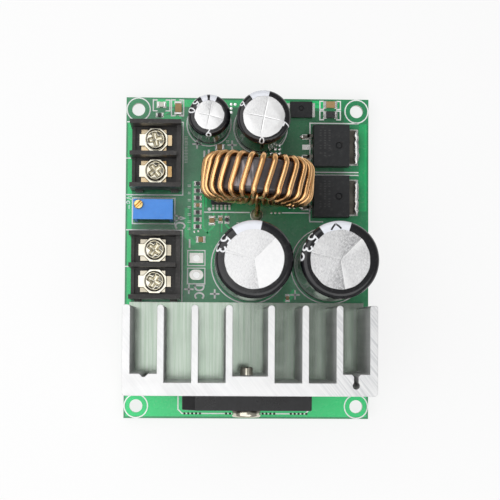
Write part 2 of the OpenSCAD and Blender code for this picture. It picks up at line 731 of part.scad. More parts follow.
module output_housing() color("#333333") translate([0, output_y, 0]) housing();
module output_contacts() color("goldenrod") translate([0, output_y, 0]) contacts();
module output_clamp_1() color("silver") clamp(output_y + pole_y(0));
module output_clamp_2() color("silver") clamp(output_y + pole_y(1));
module output_screw_1() color("silver") terminal_screw(output_y + pole_y(0));
module output_screw_2() color("silver") terminal_screw(output_y + pole_y(1));
module input_housing() color("#333333") translate([0, input_y, 0]) housing();
module input_contacts() color("goldenrod") translate([0, input_y, 0]) contacts();
module input_clamp_1() color("silver") clamp(input_y + pole_y(0));
module input_clamp_2() color("silver") clamp(input_y + pole_y(1));
module input_screw_1() color("silver") terminal_screw(input_y + pole_y(0));
module input_screw_2() color("silver") terminal_screw(input_y + pole_y(1));

// Trimmer

module trimmer_body() color("dodgerblue") translate([trimmer_x, trimmer_y, top]) difference() {
  translate([-trimmer_l / 2, -trimmer_w / 2, 0]) cube([trimmer_l, trimmer_w, trimmer_h]);
  block([-trimmer_l / 2 + trimmer_foot[0], -trimmer_w / 2 - past, -past],
    [trimmer_l / 2 - trimmer_foot[0], trimmer_w / 2 + past, trimmer_foot[1]]);
  block([-trimmer_l / 2 + trimmer_foot[0], -trimmer_w / 2 - past, -past],
    [trimmer_l / 2 - trimmer_foot[0], -trimmer_w / 2 + 0.3, trimmer_h - 1]);
  translate([trimmer_screw_x - trimmer_x, trimmer_screw_y - trimmer_y, trimmer_h - 2.5])
    cylinder(d = trimmer_screw_d, h = 2.5 + past);
}

module trimmer_screw() color("goldenrod")
  translate([trimmer_screw_x, trimmer_screw_y, top + trimmer_h - 2.5 + run_fit]) difference() {
    cylinder(r = trimmer_screw_d / 2 - run_fit, h = 3.3);
    rotate(45) translate([-trimmer_screw_d, -0.2, 2.9]) cube([2 * trimmer_screw_d, 0.4, past]);
  }

module trimmer_pins() color("silver") {
  for (i = [-1 : 1]) translate([trimmer_x + i * trimmer_pitch, trimmer_y, -lead_stick])
    cylinder(d = trimmer_pin_d, h = lead_stick + top + trimmer_foot[1]);
}

// Electrolytic capacitors

// Half of the outline of a can, grown by a thickness all round but its foot
module can_outline(d, h, grow) {
  r = d / 2 - sleeve_t - solder_fit;
  can_h = h - sleeve_t - solder_fit;
  difference() {
    square([r + grow, can_h + grow]);
    translate([r + grow, can_h + grow]) rotate(180) corner_cut(can_edge_r + grow);
    translate([r + crimp_r / 3, crimp_z]) circle(crimp_r - grow);
  }
}

module can(x, y, d, h, fold, arms) color("whitesmoke") translate([x, y, top]) difference() {
  can_h = h - sleeve_t - solder_fit;
  rotate_extrude() can_outline(d, h, 0);
  translate([0, 0, -past]) cylinder(r = seal_r(d) + solder_fit, h = seal_t + solder_fit + past);
  for (turn = arms) rotate(turn) translate([-vent_w / 2, -vent_w / 2, can_h - vent_deep])
    cube([d / 2 - fold - 0.6, vent_w, vent_deep + past]);
}

module sleeve(x, y, d, h, fold) color("black") translate([x, y, top]) rotate_extrude()
  difference() {
    can_outline(d, h, solder_fit + sleeve_t);
    can_outline(d, h, solder_fit);
    square([d / 2 - fold, h + past]);
  }

function seal_r(d) = d / 2 - sleeve_t - 2.2 * crimp_r;

// The rubber seal in a can's foot, with a hole for each lead
module seal(x, y, d, pitch, lead_d) color("black") translate([x, y, top]) difference() {
  cylinder(r = seal_r(d), h = seal_t);
  for (side = [-1, 1]) translate([0, side * pitch / 2, -past])
    cylinder(d = lead_d + 2 * solder_fit, h = seal_t + 2 * past);
}

module capacitor_leads() color("silver") {
  lead_pairs = concat(
    pair(right_x, large_y, large_pitch, large_lead_d / 2),
    pair(left_x, large_y, large_pitch, large_lead_d / 2),
    pair(medium_x, medium_y, medium_pitch, small_lead_d / 2),
    pair(small_x, small_y, small_pitch, small_lead_d / 2));
  for (spot = lead_pairs) translate([spot[0], spot[1], -lead_stick])
    cylinder(r = spot[2], h = lead_stick + top + seal_t);
}

module right_capacitor_can() can(right_x, large_y, large_d, large_h, large_fold, three_arms);
module right_capacitor_sleeve() sleeve(right_x, large_y, large_d, large_h, large_fold);
module right_capacitor_seal() seal(right_x, large_y, large_d, large_pitch, large_lead_d);
module left_capacitor_can() can(left_x, large_y, large_d, large_h, large_fold, three_arms);
module left_capacitor_sleeve() sleeve(left_x, large_y, large_d, large_h, large_fold);
module left_capacitor_seal() seal(left_x, large_y, large_d, large_pitch, large_lead_d);
module medium_capacitor_can()
  can(medium_x, medium_y, medium_d, medium_h, medium_fold, four_arms);
module medium_capacitor_sleeve() sleeve(medium_x, medium_y, medium_d, medium_h, medium_fold);
module medium_capacitor_seal() seal(medium_x, medium_y, medium_d, medium_pitch, small_lead_d);
module small_capacitor_can() can(small_x, small_y, small_d, small_h, small_fold, four_arms);
module small_capacitor_sleeve() sleeve(small_x, small_y, small_d, small_h, small_fold);
module small_capacitor_seal() seal(small_x, small_y, small_d, small_pitch, small_lead_d);

// Choke

module choke_core() color("dimgray") translate([choke_x, choke_y, choke_z]) rotate(choke_yaw)
  rotate([90, 0, 0]) rotate_extrude($fn = 96)
    translate([(core_od + core_id) / 4, 0]) round_rect([(core_od - core_id) / 2, core_t], core_edge_r);

// The wire's path round the core's section: four rounded corners, each in three steps
corner_steps = 3;
corner_l = wind_corner * PI / 2;
radial_l = wind_outer - wind_inner - 2 * wind_corner;
axial_l = 2 * wind_half - 2 * wind_corner;
lap_l = 4 * corner_l + 2 * radial_l + 2 * axial_l;
corner_starts = [0, corner_l + axial_l, 2 * corner_l + axial_l + radial_l,
  3 * corner_l + 2 * axial_l + radial_l];

// A place on the ring at an angle from its lowest point, with the ring's own direction there
function ring_place(angle, radius, y) =
  [[radius * sin(angle), y, -radius * cos(angle)], [cos(angle), 0, sin(angle)]];

// One point of the winding: its turn, its corner from 0 to 3 and its step on that corner
function wound_place(turn, corner, step) =
  let (bend = 270 - 90 * corner - 90 * step / corner_steps,
       middle_r = corner < 2 ? wind_inner + wind_corner : wind_outer - wind_corner,
       middle_y = (corner == 0 || corner == 3 ? -1 : 1) * (wind_half - wind_corner),
       run = (corner_starts[corner] + corner_l * step / corner_steps) / lap_l)
  ring_place(tail_angle + turn_angle * (turn + run),
    middle_r + wind_corner * cos(bend), middle_y + wind_corner * sin(bend));

// A tail runs from under the board up to the ring's face
function tail_places(y, face) =
  let (bottom = -choke_z - lead_stick, bend_z = top + 2 - choke_z, out = [1, 0, 0])
  [[[tail_offset, y, bottom], out], [[tail_offset, y, bend_z], out],
   [[tail_offset, y * 0.85 + face * 0.15, bend_z + 1], out],
   [[tail_offset, y * 0.3 + face * 0.7, bend_z + 2.6], out],
   [[tail_offset, face, -wind_outer + 3.9], out]];

function reversed(list) = [for (i = [len(list) - 1 : -1 : 0]) list[i]];

wire_places = concat(
  tail_places(front_tail_y, -wind_half),
  [for (turn = [0 : turns - 1]) for (corner = [0 : 3]) for (step = [0 : corner_steps])
    wound_place(turn, corner, step)],
  [for (corner = [0 : 1]) for (step = [0 : corner_steps]) wound_place(turns, corner, step)],
  reversed(tail_places(back_tail_y, wind_half)));

function unit(v) = v / norm(v);

// A ring of points round one place of the wire, square to the wire's run
wire_sides = 8;
function wire_ring(i) =
  let (last = len(wire_places) - 1,
       run = unit(wire_places[min(i + 1, last)][0] - wire_places[max(i - 1, 0)][0]),
       along = wire_places[i][1],
       side = unit(along - (along * run) * run),
       up = cross(run, side))
  [for (j = [0 : wire_sides - 1]) let (a = 360 * j / wire_sides)
    wire_places[i][0] + wire_r * (cos(a) * side + sin(a) * up)];

module choke_winding() color("goldenrod") translate([choke_x, choke_y, choke_z]) rotate(choke_yaw) {
  count = len(wire_places);
  points = [for (i = [0 : count - 1]) each wire_ring(i)];
  walls = [for (i = [0 : count - 2]) for (j = [0 : wire_sides - 1])
    let (a = i * wire_sides + j, b = i * wire_sides + (j + 1) % wire_sides)
    each [[a, b, a + wire_sides], [b, b + wire_sides, a + wire_sides]]];
  ends = [[for (j = [wire_sides - 1 : -1 : 0]) j],
    [for (j = [0 : wire_sides - 1]) (count - 1) * wire_sides + j]];
  polyhedron(points, concat(walls, ends));
}

// Surface-mounted parts

// A moulded case seen from its end, with the mould's draft above and below its parting line
module mould_profile(length, height, part_z) {
  draft = height / 20;
  polygon([[-length / 2 + draft, 0], [length / 2 - draft, 0], [length / 2, part_z],
    [length / 2 - draft, height], [-length / 2 + draft, height], [-length / 2, part_z]]);
}

// The slab of the transistor's copper that its case wraps
slab_w = mosfet_w - 1.8;
lead_t = 0.5;
lead_out = 2.3;
mosfet_lead_w = 0.8;
mosfet_lead_z = 2.4;

module mosfet_case(y) color("black") translate([mosfet_left, y, top]) difference() {
  translate([mosfet_l / 2, 0, 0]) rotate([90, 0, 0])
    linear_extrude(mosfet_w, center = true) mould_profile(mosfet_l, mosfet_h, tab_t);
  block([1, -slab_w / 2, -past], [mosfet_l + past, slab_w / 2, tab_t]);
  translate([mosfet_l * 0.72, 0, mosfet_h - 0.15]) cylinder(d = 1.6, h = past);
}

module mosfet_frame(y) color("silver") translate([mosfet_left, y, top]) {
  block([1, -slab_w / 2, 0], [mosfet_l, slab_w / 2, tab_t]);
  translate([mosfet_l, 0, 0]) difference() {
    block([0, -slab_w / 2, 0], [tab_out, slab_w / 2, tab_t]);
    for (side = [0, 1]) mirror([0, side, 0]) translate([tab_out, slab_w / 2, -past]) rotate(45)
      cube([1.4, 1.4, 2 * (tab_t + past)], center = true);
  }
  draft_in = (mosfet_lead_z - tab_t) / (mosfet_h - tab_t) * mosfet_h / 20;
  for (side = [-1, 1]) translate([draft_in, side * mosfet_pitch, 0]) rotate([90, 0, 0])
    linear_extrude(mosfet_lead_w, center = true) gull_profile(mosfet_lead_z, lead_out, lead_t, 1);
  translate([draft_in, 0, mosfet_lead_z])
    block([-lead_t - draft_in, -mosfet_lead_w / 2, 0], [0, mosfet_lead_w / 2, lead_t]);
}

// A lead seen from its side: out of the case at z, down to the board and flat on its foot
module gull_profile(z, out, t, foot) {
  polygon([[0, z + t], [-(out - foot - t), z + t], [-(out - foot), z], [-(out - foot), t],
    [-out, t], [-out, 0], [-(out - foot) + t, 0], [-(out - foot) + t, z], [0, z]]);
}

module upper_mosfet_case() mosfet_case(upper_mosfet_y);
module upper_mosfet_frame() mosfet_frame(upper_mosfet_y);
module lower_mosfet_case() mosfet_case(lower_mosfet_y);
module lower_mosfet_frame() mosfet_frame(lower_mosfet_y);

terminal_t = 0.2;
module diode_case() color("black") translate([diode_x, diode_y, top + terminal_t])
  rotate([90, 0, 0]) linear_extrude(diode_w, center = true)
    mould_profile(diode_l, diode_h, diode_h / 3);

module diode_terminals() color("silver") translate([diode_x, diode_y, top]) {
  block([0.4, -diode_w / 2 + 0.4, 0], [diode_span / 2, diode_w / 2 - 0.4, terminal_t]);
  for (side = [-1, 1]) translate([0, side * diode_w / 4, 0])
    block([-diode_span / 2, -0.5, 0], [-diode_l / 2 + 1.2, 0.5, terminal_t]);
}

controller_foot = 0.15;
module controller_case() color("black")
  translate([controller_x, controller_y, top + controller_foot]) rotate([90, 0, 90])
    linear_extrude(controller_l, center = true)
      mould_profile(controller_w, controller_h, controller_h / 2);

module controller_leads() color("silver") translate([controller_x, controller_y, top])
  for (side = [0, 1]) mirror([0, side, 0]) for (i = [-2 : 2])
    translate([i * controller_pitch, controller_w / 2, 0]) rotate([90, 0, -90])
      linear_extrude(0.4, center = true)
        gull_profile(controller_h / 2 + controller_foot - 0.1, 1.1, 0.2, 0.5);

// Sets its child at a chip's place; the child is drawn from the middle of its foot
module at_place(place) translate([place[0], place[1], top]) rotate(place[2]) children();

module chip_body(place) at_place(place) {
  size = place[3];
  translate([-size[0] / 2 + size[3], -size[1] / 2, 0.05])
    cube([size[0] - 2 * size[3], size[1], size[2]]);
}

module indicator_led() color("white") chip_body(led_place);

module chip_capacitors() color("tan") {
  for (place = capacitor_places) chip_body(place);
}

module chip_resistors() color("black") {
  for (place = resistor_places) chip_body(place);
}

module chip_ends() color("silver") {
  for (place = concat([led_place], capacitor_places, resistor_places)) at_place(place)
    for (side = [0, 1]) mirror([side, 0, 0]) {
      size = place[3];
      translate([size[0] / 2 - size[3], -size[1] / 2, 0])
        cube([size[3], size[1], size[2] + 0.08]);
    }
}

// What is drawn for each node

circuit_board();
wire_pads();
solder_joints();
insulating_sheet();
heatsink();
heatsink_pins();
bridge_rectifier();
bridge_leads();
bridge_screw();
output_housing();
output_contacts();
output_clamp_1();
output_clamp_2();
output_screw_1();
output_screw_2();
input_housing();
input_contacts();
input_clamp_1();
input_clamp_2();
input_screw_1();
input_screw_2();
trimmer_body();
trimmer_screw();
trimmer_pins();
right_capacitor_can();
right_capacitor_sleeve();
right_capacitor_seal();
left_capacitor_can();
left_capacitor_sleeve();
left_capacitor_seal();
medium_capacitor_can();
medium_capacitor_sleeve();
medium_capacitor_seal();
small_capacitor_can();
small_capacitor_sleeve();
small_capacitor_seal();
capacitor_leads();
choke_core();
choke_winding();
upper_mosfet_case();
upper_mosfet_frame();
lower_mosfet_case();
lower_mosfet_frame();
diode_case();
diode_terminals();
controller_case();
controller_leads();
indicator_led();
chip_capacitors();
chip_resistors();
chip_ends();
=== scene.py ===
import json
import math
import random
import bmesh
import bpy
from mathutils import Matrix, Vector, noise


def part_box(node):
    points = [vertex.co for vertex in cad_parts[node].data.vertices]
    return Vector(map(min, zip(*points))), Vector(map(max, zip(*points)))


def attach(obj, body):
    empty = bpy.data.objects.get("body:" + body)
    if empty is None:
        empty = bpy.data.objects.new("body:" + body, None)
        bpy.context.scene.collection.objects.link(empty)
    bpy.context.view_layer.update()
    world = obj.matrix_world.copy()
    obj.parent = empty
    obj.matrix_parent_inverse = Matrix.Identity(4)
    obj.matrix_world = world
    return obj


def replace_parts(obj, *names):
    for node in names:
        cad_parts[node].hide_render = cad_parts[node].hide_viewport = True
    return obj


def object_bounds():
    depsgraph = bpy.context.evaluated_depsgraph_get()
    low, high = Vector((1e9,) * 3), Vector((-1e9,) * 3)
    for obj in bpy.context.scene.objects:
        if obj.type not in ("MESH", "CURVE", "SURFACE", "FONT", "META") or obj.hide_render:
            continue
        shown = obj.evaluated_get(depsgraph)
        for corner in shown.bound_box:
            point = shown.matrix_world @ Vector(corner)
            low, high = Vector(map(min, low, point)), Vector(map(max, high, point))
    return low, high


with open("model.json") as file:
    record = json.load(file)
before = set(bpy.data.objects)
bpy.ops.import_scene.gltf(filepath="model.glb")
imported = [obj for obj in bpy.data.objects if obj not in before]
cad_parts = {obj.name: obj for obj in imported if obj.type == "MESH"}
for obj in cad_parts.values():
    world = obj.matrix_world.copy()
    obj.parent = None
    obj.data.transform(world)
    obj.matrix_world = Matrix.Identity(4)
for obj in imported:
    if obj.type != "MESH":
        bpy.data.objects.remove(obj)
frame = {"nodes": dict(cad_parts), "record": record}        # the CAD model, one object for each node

mm = 0.001
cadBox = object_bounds()
scene = bpy.context.scene
record = frame["record"]
bodyOf = {node: body for body, nodes in record["behaviour"]["bodies"].items() for node in nodes}
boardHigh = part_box("circuit_board")[1]
boardTop = boardHigh[2] / mm      # in millimetres, as every place below
edgeX, edgeY = boardHigh[0] / mm, boardHigh[1] / mm


def boxOf(node):      # the two corners of a node, in millimetres
    low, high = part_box(node)
    return Vector(low) / mm, Vector(high) / mm


def middleOf(node):
    low, high = boxOf(node)
    return (low + high) / 2


# Node trees

def addNode(tree, kind, inputs=None, **settings):
    item = tree.nodes.new(kind)
    for key, value in settings.items():
        setattr(item, key, value)
    for key, value in (inputs or {}).items():
        if isinstance(value, bpy.types.NodeSocket):
            tree.links.new(value, item.inputs[key])
        else:
            item.inputs[key].default_value = value
    return item


def calc(tree, operation, first, second=0.0, clamp=False):
    return addNode(tree, "ShaderNodeMath", {0: first, 1: second},
                   operation=operation, use_clamp=clamp).outputs[0]


def blendColours(tree, factor, first, second, kind="MIX"):
    mixer = addNode(tree, "ShaderNodeMix", data_type="RGBA", blend_type=kind)
    for index, value in ((0, factor), (6, first), (7, second)):
        if isinstance(value, bpy.types.NodeSocket):
            tree.links.new(value, mixer.inputs[index])
        else:
            mixer.inputs[index].default_value = value
    return mixer.outputs[2]


def ramp(tree, value, low, high, start=0.0, end=1.0):
    return addNode(tree, "ShaderNodeMapRange",
                   {"Value": value, "From Min": low, "From Max": high, "To Min": start,
                    "To Max": end}, interpolation_type="SMOOTHSTEP").outputs[0]


def speckle(tree, place, scale, detail=3.0, rough=0.55):
    return addNode(tree, "ShaderNodeTexNoise", {"Vector": place, "Scale": scale, "Detail": detail,
                                                "Roughness": rough}).outputs[0]


def vectorCalc(tree, operation, first, second=(0, 0, 0), result=0):
    return addNode(tree, "ShaderNodeVectorMath", {0: first, 1: second},
                   operation=operation).outputs[result]


def splitUp(tree, vector):      # its X, Y and Z
    return addNode(tree, "ShaderNodeSeparateXYZ", {0: vector}).outputs


def placeOf(tree):      # where a point lies on its object
    return addNode(tree, "ShaderNodeTexCoord").outputs["Object"]


def normalOf(tree):
    return addNode(tree, "ShaderNodeNewGeometry").outputs["Normal"]


def facing(tree, axis, low, high):      # a mask of the faces that look along an axis
    part = splitUp(tree, normalOf(tree))[axis]
    return ramp(tree, calc(tree, "ABSOLUTE", part), low, high)


def rgba(colour):
    return (*colour, 1.0)


def newGroup(name, inputs, outputs):
    tree = bpy.data.node_groups.new(name, "ShaderNodeTree")
    for title, kind, value in inputs:
        socket = tree.interface.new_socket(title, in_out="INPUT", socket_type="NodeSocket" + kind)
        socket.default_value = value
    for title, kind in outputs:
        tree.interface.new_socket(title, in_out="OUTPUT", socket_type="NodeSocket" + kind)
    return tree, tree.nodes.new("NodeGroupInput").outputs, tree.nodes.new("NodeGroupOutput").inputs


def buildEdgeWear():      # paler or barer where an edge is rubbed
    tree, given, result = newGroup("Edge wear", [
        ("Colour", "Color", (0.5, 0.5, 0.5, 1)), ("Worn Colour", "Color", (1, 1, 1, 1)),
        ("Amount", "Float", 0.5), ("Reach", "Float", 0.0002), ("Patch Scale", "Float", 900)],
        [("Colour", "Color"), ("Mask", "Float")])
    bevelled = addNode(tree, "ShaderNodeBevel", {"Radius": given["Reach"]}, samples=4).outputs[0]
    turn = vectorCalc(tree, "DOT_PRODUCT", bevelled, normalOf(tree), "Value")
    patch = speckle(tree, placeOf(tree), given["Patch Scale"])
    edge = ramp(tree, calc(tree, "SUBTRACT", 1.0, turn), 0.01, 0.18)
    mask = calc(tree, "MULTIPLY", calc(tree, "MULTIPLY", edge, ramp(tree, patch, 0.35, 0.65)),
                given["Amount"], clamp=True)
    tree.links.new(mask, result["Mask"])
    tree.links.new(blendColours(tree, mask, given["Colour"], given["Worn Colour"]), result["Colour"])
    return tree


def buildGrain():      # a fine surface texture, which may be drawn out along one axis
    tree, given, result = newGroup("Grain", [
        ("Stretch", "Vector", (1, 1, 1)), ("Turn", "Float", 0.0), ("Scale", "Float", 2000)],
        [("Value", "Float"), ("Height", "Float")])
    turned = addNode(tree, "ShaderNodeVectorRotate", {"Vector": placeOf(tree), "Angle": given["Turn"]},
                     rotation_type="Z_AXIS").outputs[0]
    drawn = vectorCalc(tree, "MULTIPLY", turned, given["Stretch"])
    coarse = speckle(tree, drawn, calc(tree, "MULTIPLY", given["Scale"], 0.23), 2.0)
    fine = speckle(tree, drawn, given["Scale"], 4.0, 0.65)
    tree.links.new(ramp(tree, coarse, 0.3, 0.7), result["Value"])
    tree.links.new(calc(tree, "ADD", calc(tree, "MULTIPLY", coarse, 0.5), fine), result["Height"])
    return tree


def buildSmudge():      # handling marks, which change how sharply a surface shines
    tree, given, result = newGroup("Smudges", [
        ("Roughness", "Float", 0.4), ("Spread", "Float", 0.1), ("Scale", "Float", 180)],
        [("Roughness", "Float")])
    patch = ramp(tree, speckle(tree, placeOf(tree), given["Scale"], 5.0, 0.6), 0.3, 0.7, -1.0, 1.0)
    rough = calc(tree, "ADD", given["Roughness"], calc(tree, "MULTIPLY", patch, given["Spread"]),
                 clamp=True)
    tree.links.new(rough, result["Roughness"])
    return tree


def buildDust():      # a thin dust that settles on upward faces
    tree, given, result = newGroup("Dust", [
        ("Colour", "Color", (0.5, 0.5, 0.5, 1)), ("Dust Colour", "Color", (0.62, 0.6, 0.56, 1)),
        ("Amount", "Float", 0.1)], [("Colour", "Color"), ("Mask", "Float")])
    upward = splitUp(tree, normalOf(tree))["Z"]
    flecks = ramp(tree, speckle(tree, placeOf(tree), 1400, 6.0, 0.7), 0.52, 0.72)
    mask = calc(tree, "MULTIPLY", calc(tree, "MULTIPLY", ramp(tree, upward, 0.2, 0.9), flecks),
                given["Amount"], clamp=True)
    tree.links.new(mask, result["Mask"])
    tree.links.new(blendColours(tree, mask, given["Colour"], given["Dust Colour"]), result["Colour"])
    return tree


def buildSector():      # white between two angles round an upright axis, each side sharp or soft
    tree, given, result = newGroup("Sector", [
        ("Centre", "Vector", (0, 0, 0)), ("From", "Float", 60.0), ("Width", "Float", 60.0),
        ("Start Soft", "Float", 0.5), ("End Soft", "Float", 0.5)], [("Mask", "Float")])
    parts = splitUp(tree, vectorCalc(tree, "SUBTRACT", placeOf(tree), given["Centre"]))
    angle = calc(tree, "DEGREES", calc(tree, "ARCTAN2", parts["Y"], parts["X"]))
    past = calc(tree, "MODULO", calc(tree, "ADD", calc(tree, "SUBTRACT", angle, given["From"]), 720.0),
                360.0)
    lower = calc(tree, "DIVIDE", past, given["Start Soft"], clamp=True)
    upper = calc(tree, "DIVIDE", calc(tree, "SUBTRACT", given["Width"], past), given["End Soft"],
                 clamp=True)
    tree.links.new(calc(tree, "MULTIPLY", lower, upper), result["Mask"])
    return tree


def buildDimple():      # a round hollow in an upward face
    tree, given, result = newGroup("Dimple", [
        ("Centre", "Vector", (0, 0, 0)), ("Radius", "Float", 0.0008)], [("Mask", "Float")])
    flat = vectorCalc(tree, "MULTIPLY", placeOf(tree), (1, 1, 0))
    away = vectorCalc(tree, "DISTANCE", flat, given["Centre"], "Value")
    share = calc(tree, "DIVIDE", away, given["Radius"])
    tree.links.new(ramp(tree, share, 0.55, 1.0, 1.0, 0.0), result["Mask"])
    return tree


def buildRegion():      # white inside a rectangle, seen from above
    tree, given, result = newGroup("Region", [
        ("Middle", "Vector", (0, 0, 0)), ("Half Size", "Vector", (0.01, 0.01, 1))], [("Mask", "Float")])
    apart = vectorCalc(tree, "ABSOLUTE", vectorCalc(tree, "SUBTRACT", placeOf(tree), given["Middle"]))
    parts = splitUp(tree, vectorCalc(tree, "SUBTRACT", given["Half Size"], apart))
    nearest = calc(tree, "MINIMUM", parts["X"], parts["Y"])
    tree.links.new(ramp(tree, nearest, 0.0, 0.00012), result["Mask"])
    return tree


edgeWear, grain, smudges, dust, sector, dimple, region = (
    buildEdgeWear(), buildGrain(), buildSmudge(), buildDust(), buildSector(), buildDimple(),
    buildRegion())
print("node groups built")


def useGroup(tree, group, inputs):
    return addNode(tree, "ShaderNodeGroup", inputs, node_tree=group).outputs


def madeOf(name, colour, shade=None, shadeAmount=0.5, metallic=0.0, rough=0.4, spread=0.06,
           stretch=(1, 1, 1), turn=0.0, scale=2500, height=0.00001, bump=0.35, worn=None, wear=0.0,
           reach=0.0002, dusty=0.0, coat=0.0, coatRough=0.1, specular=0.5, paint=None, dents=()):
    finish = bpy.data.materials.new(name)
    finish.use_nodes = True
    tree = finish.node_tree
    shader = tree.nodes["Principled BSDF"]
    shader.inputs["Metallic"].default_value = metallic
    shader.inputs["Coat Weight"].default_value = coat
    shader.inputs["Coat Roughness"].default_value = coatRough
    shader.inputs["Specular IOR Level"].default_value = specular
    texture = useGroup(tree, grain, {"Stretch": stretch, "Turn": turn, "Scale": scale})
    tone = calc(tree, "MULTIPLY", texture["Value"], shadeAmount)
    base = blendColours(tree, tone, rgba(colour), rgba(shade or [c * 0.8 for c in colour]))
    if paint:
        base = paint(tree, base)
    if wear:
        base = useGroup(tree, edgeWear, {"Colour": base, "Worn Colour": rgba(worn or colour),
                                         "Amount": wear, "Reach": reach})["Colour"]
    if dusty:
        base = useGroup(tree, dust, {"Colour": base, "Amount": dusty})["Colour"]
    tree.links.new(base, shader.inputs["Base Color"])
    tree.links.new(useGroup(tree, smudges, {"Roughness": rough, "Spread": spread})["Roughness"],
                   shader.inputs["Roughness"])
    rise = texture["Height"]
    for centre, radius, depth in dents:
        hollow = useGroup(tree, dimple, {"Centre": centre, "Radius": radius})["Mask"]
        rise = calc(tree, "SUBTRACT", rise, calc(tree, "MULTIPLY", hollow, depth / height))
    relief = addNode(tree, "ShaderNodeBump", {"Height": rise, "Strength": 1.0 if dents else bump,
                                              "Distance": height})
    tree.links.new(relief.outputs[0], shader.inputs["Normal"])
    return finish


# Meshes

def addPiece(name, bm, material, body="board", smoothAngle=30):
    bmesh.ops.recalc_face_normals(bm, faces=bm.faces)
    for face in bm.faces:
        face.smooth = True
    limit = math.radians(smoothAngle)
    for edge in bm.edges:
        edge.smooth = len(edge.link_faces) == 2 and edge.calc_face_angle(0) < limit
    mesh = bpy.data.meshes.new(name)
    bm.to_mesh(mesh)
    bm.free()
    mesh.materials.append(material)
    piece = bpy.data.objects.new(name, mesh)
    scene.collection.objects.link(piece)
    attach(piece, body)
    return piece


def softened(node, material, width=0.1, steps=2, angle=32):      # a node with its edges eased
    bm = bmesh.new()
    bm.from_mesh(frame["nodes"][node].data)
    bmesh.ops.remove_doubles(bm, verts=bm.verts, dist=2e-6)
    bmesh.ops.dissolve_limit(bm, angle_limit=math.radians(0.8), verts=bm.verts, edges=bm.edges)
    piece = addPiece(node + "_eased", bm, material, bodyOf[node], angle)
    bevel = piece.modifiers.new("Eased edges", "BEVEL")
    bevel.width = width * mm
    bevel.segments = steps
    bevel.limit_method = "ANGLE"
    bevel.angle_limit = math.radians(angle)
    bevel.harden_normals = True
    bevel.use_clamp_overlap = True
    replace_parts(piece, node)
    return piece


def dress(node, material):      # a CAD node keeps its shape and takes a finish
    mesh = frame["nodes"][node].data
    mesh.materials.clear()
    mesh.materials.append(material)


def joinRows(bm, rows, closed=False, around=True):      # faces between each row of corners and the next
    count = len(rows[0])
    for one, two in zip(rows, rows[1:] + (rows[:1] if closed else [])):
        for k in range(count if around else count - 1):
            after = (k + 1) % count
            bm.faces.new((one[k], one[after], two[after], two[k]))


def roundAngles(sides):
    return [2 * math.pi * k / sides for k in range(sides)]


def boxLine(x0, y0, x1, y1):
    return [(x0, y0), (x1, y0), (x1, y1), (x0, y1)]


def denser(points, step=0.3):      # the same line with more points, to follow a curved surface
    closer = [points[0]]
    for start, end in zip(points, points[1:]):
        parts = max(1, math.ceil(math.dist(start, end) / step))
        closer += [tuple(Vector(start).lerp(Vector(end), i / parts)) for i in range(1, parts + 1)]
    return closer


def strokePath(bm, points, width, low, high, closed=False, place=None):      # a flat line
    if place:
        points = denser(points)
    place = place or (lambda x, y, z: Vector((x, y, z)) * mm)
    rows = []
    for index, (x, y) in enumerate(points):
        ways = []
        for step in (-1, 0):
            if closed or 0 <= index + step < len(points) - 1:
                start = Vector(points[(index + step) % len(points)])
                end = Vector(points[(index + step + 1) % len(points)])
                ways.append((end - start).normalized())
        way = sum(ways, Vector((0, 0))).normalized()
        half = width / 2 / max(0.5, way.dot(ways[0]))
        ahead = 0 if len(ways) == 2 else (width / 2 if index else -width / 2)
        x, y = x + way.x * ahead, y + way.y * ahead
        left, right = (x - way.y * half, y + way.x * half), (x + way.y * half, y - way.x * half)
        rows.append([bm.verts.new(place(*corner)) for corner in
                     ((*left, high), (*right, high), (*right, low), (*left, low))])
    joinRows(bm, rows, closed)
    if not closed:
        bm.faces.new(rows[0])
        bm.faces.new(rows[-1][::-1])


def plate(bm, x0, y0, x1, y1, low, high):      # a thin rectangular plate
    under, over = ([bm.verts.new(Vector((x, y, z)) * mm) for x, y in boxLine(x0, y0, x1, y1)]
                   for z in (low, high))
    bm.faces.new(under[::-1])
    bm.faces.new(over)
    joinRows(bm, [under, over])


def arc(x, y, across, up, start, end, steps=12):
    return [(x + across * math.cos(math.radians(start + (end - start) * i / steps)),
             y + up * math.sin(math.radians(start + (end - start) * i / steps)))
            for i in range(steps + 1)]


def disc(bm, x, y, radius, low, high, sides=24, dome=0.0):      # a low button
    rim = [Vector((x + radius * math.cos(a), y + radius * math.sin(a), 0)) for a in roundAngles(sides)]
    centre = Vector((x, y, 0))
    rings = []
    for share, height in ((1.0, low), (1.0, high), (0.6, high + dome * 0.75)):
        rings.append([bm.verts.new((centre.lerp(p, share) + Vector((0, 0, height))) * mm) for p in rim])
    top = bm.verts.new(Vector((x, y, high + dome)) * mm)
    bm.faces.new(rings[0][::-1])
    joinRows(bm, rings)
    for k in range(sides):
        bm.faces.new((rings[2][k], rings[2][(k + 1) % sides], top))


def bead(bm, points, wide, tall, low, seed, sides=7):      # a bead of solder along a line
    rows = []
    for index, (x, y) in enumerate(points):
        before, after = points[max(index - 1, 0)], points[min(index + 1, len(points) - 1)]
        way = (Vector(after) - Vector(before)).normalized()
        end = min(index, len(points) - 1 - index)
        fade = min(1.0, 0.35 + 0.4 * end)
        lump = 1 + 0.25 * noise.noise(Vector((x * 1.7, y * 1.7, seed)))
        row = []
        for side in range(sides):
            turn = math.pi * side / (sides - 1)
            away = math.cos(turn) * wide / 2 * fade * lump
            rise = math.sin(turn) * tall * fade * lump
            row.append(bm.verts.new(Vector((x - way.y * away, y + way.x * away, low + rise)) * mm))
        rows.append(row)
    joinRows(bm, rows)
    bm.faces.new(rows[0])
    bm.faces.new(rows[-1][::-1])


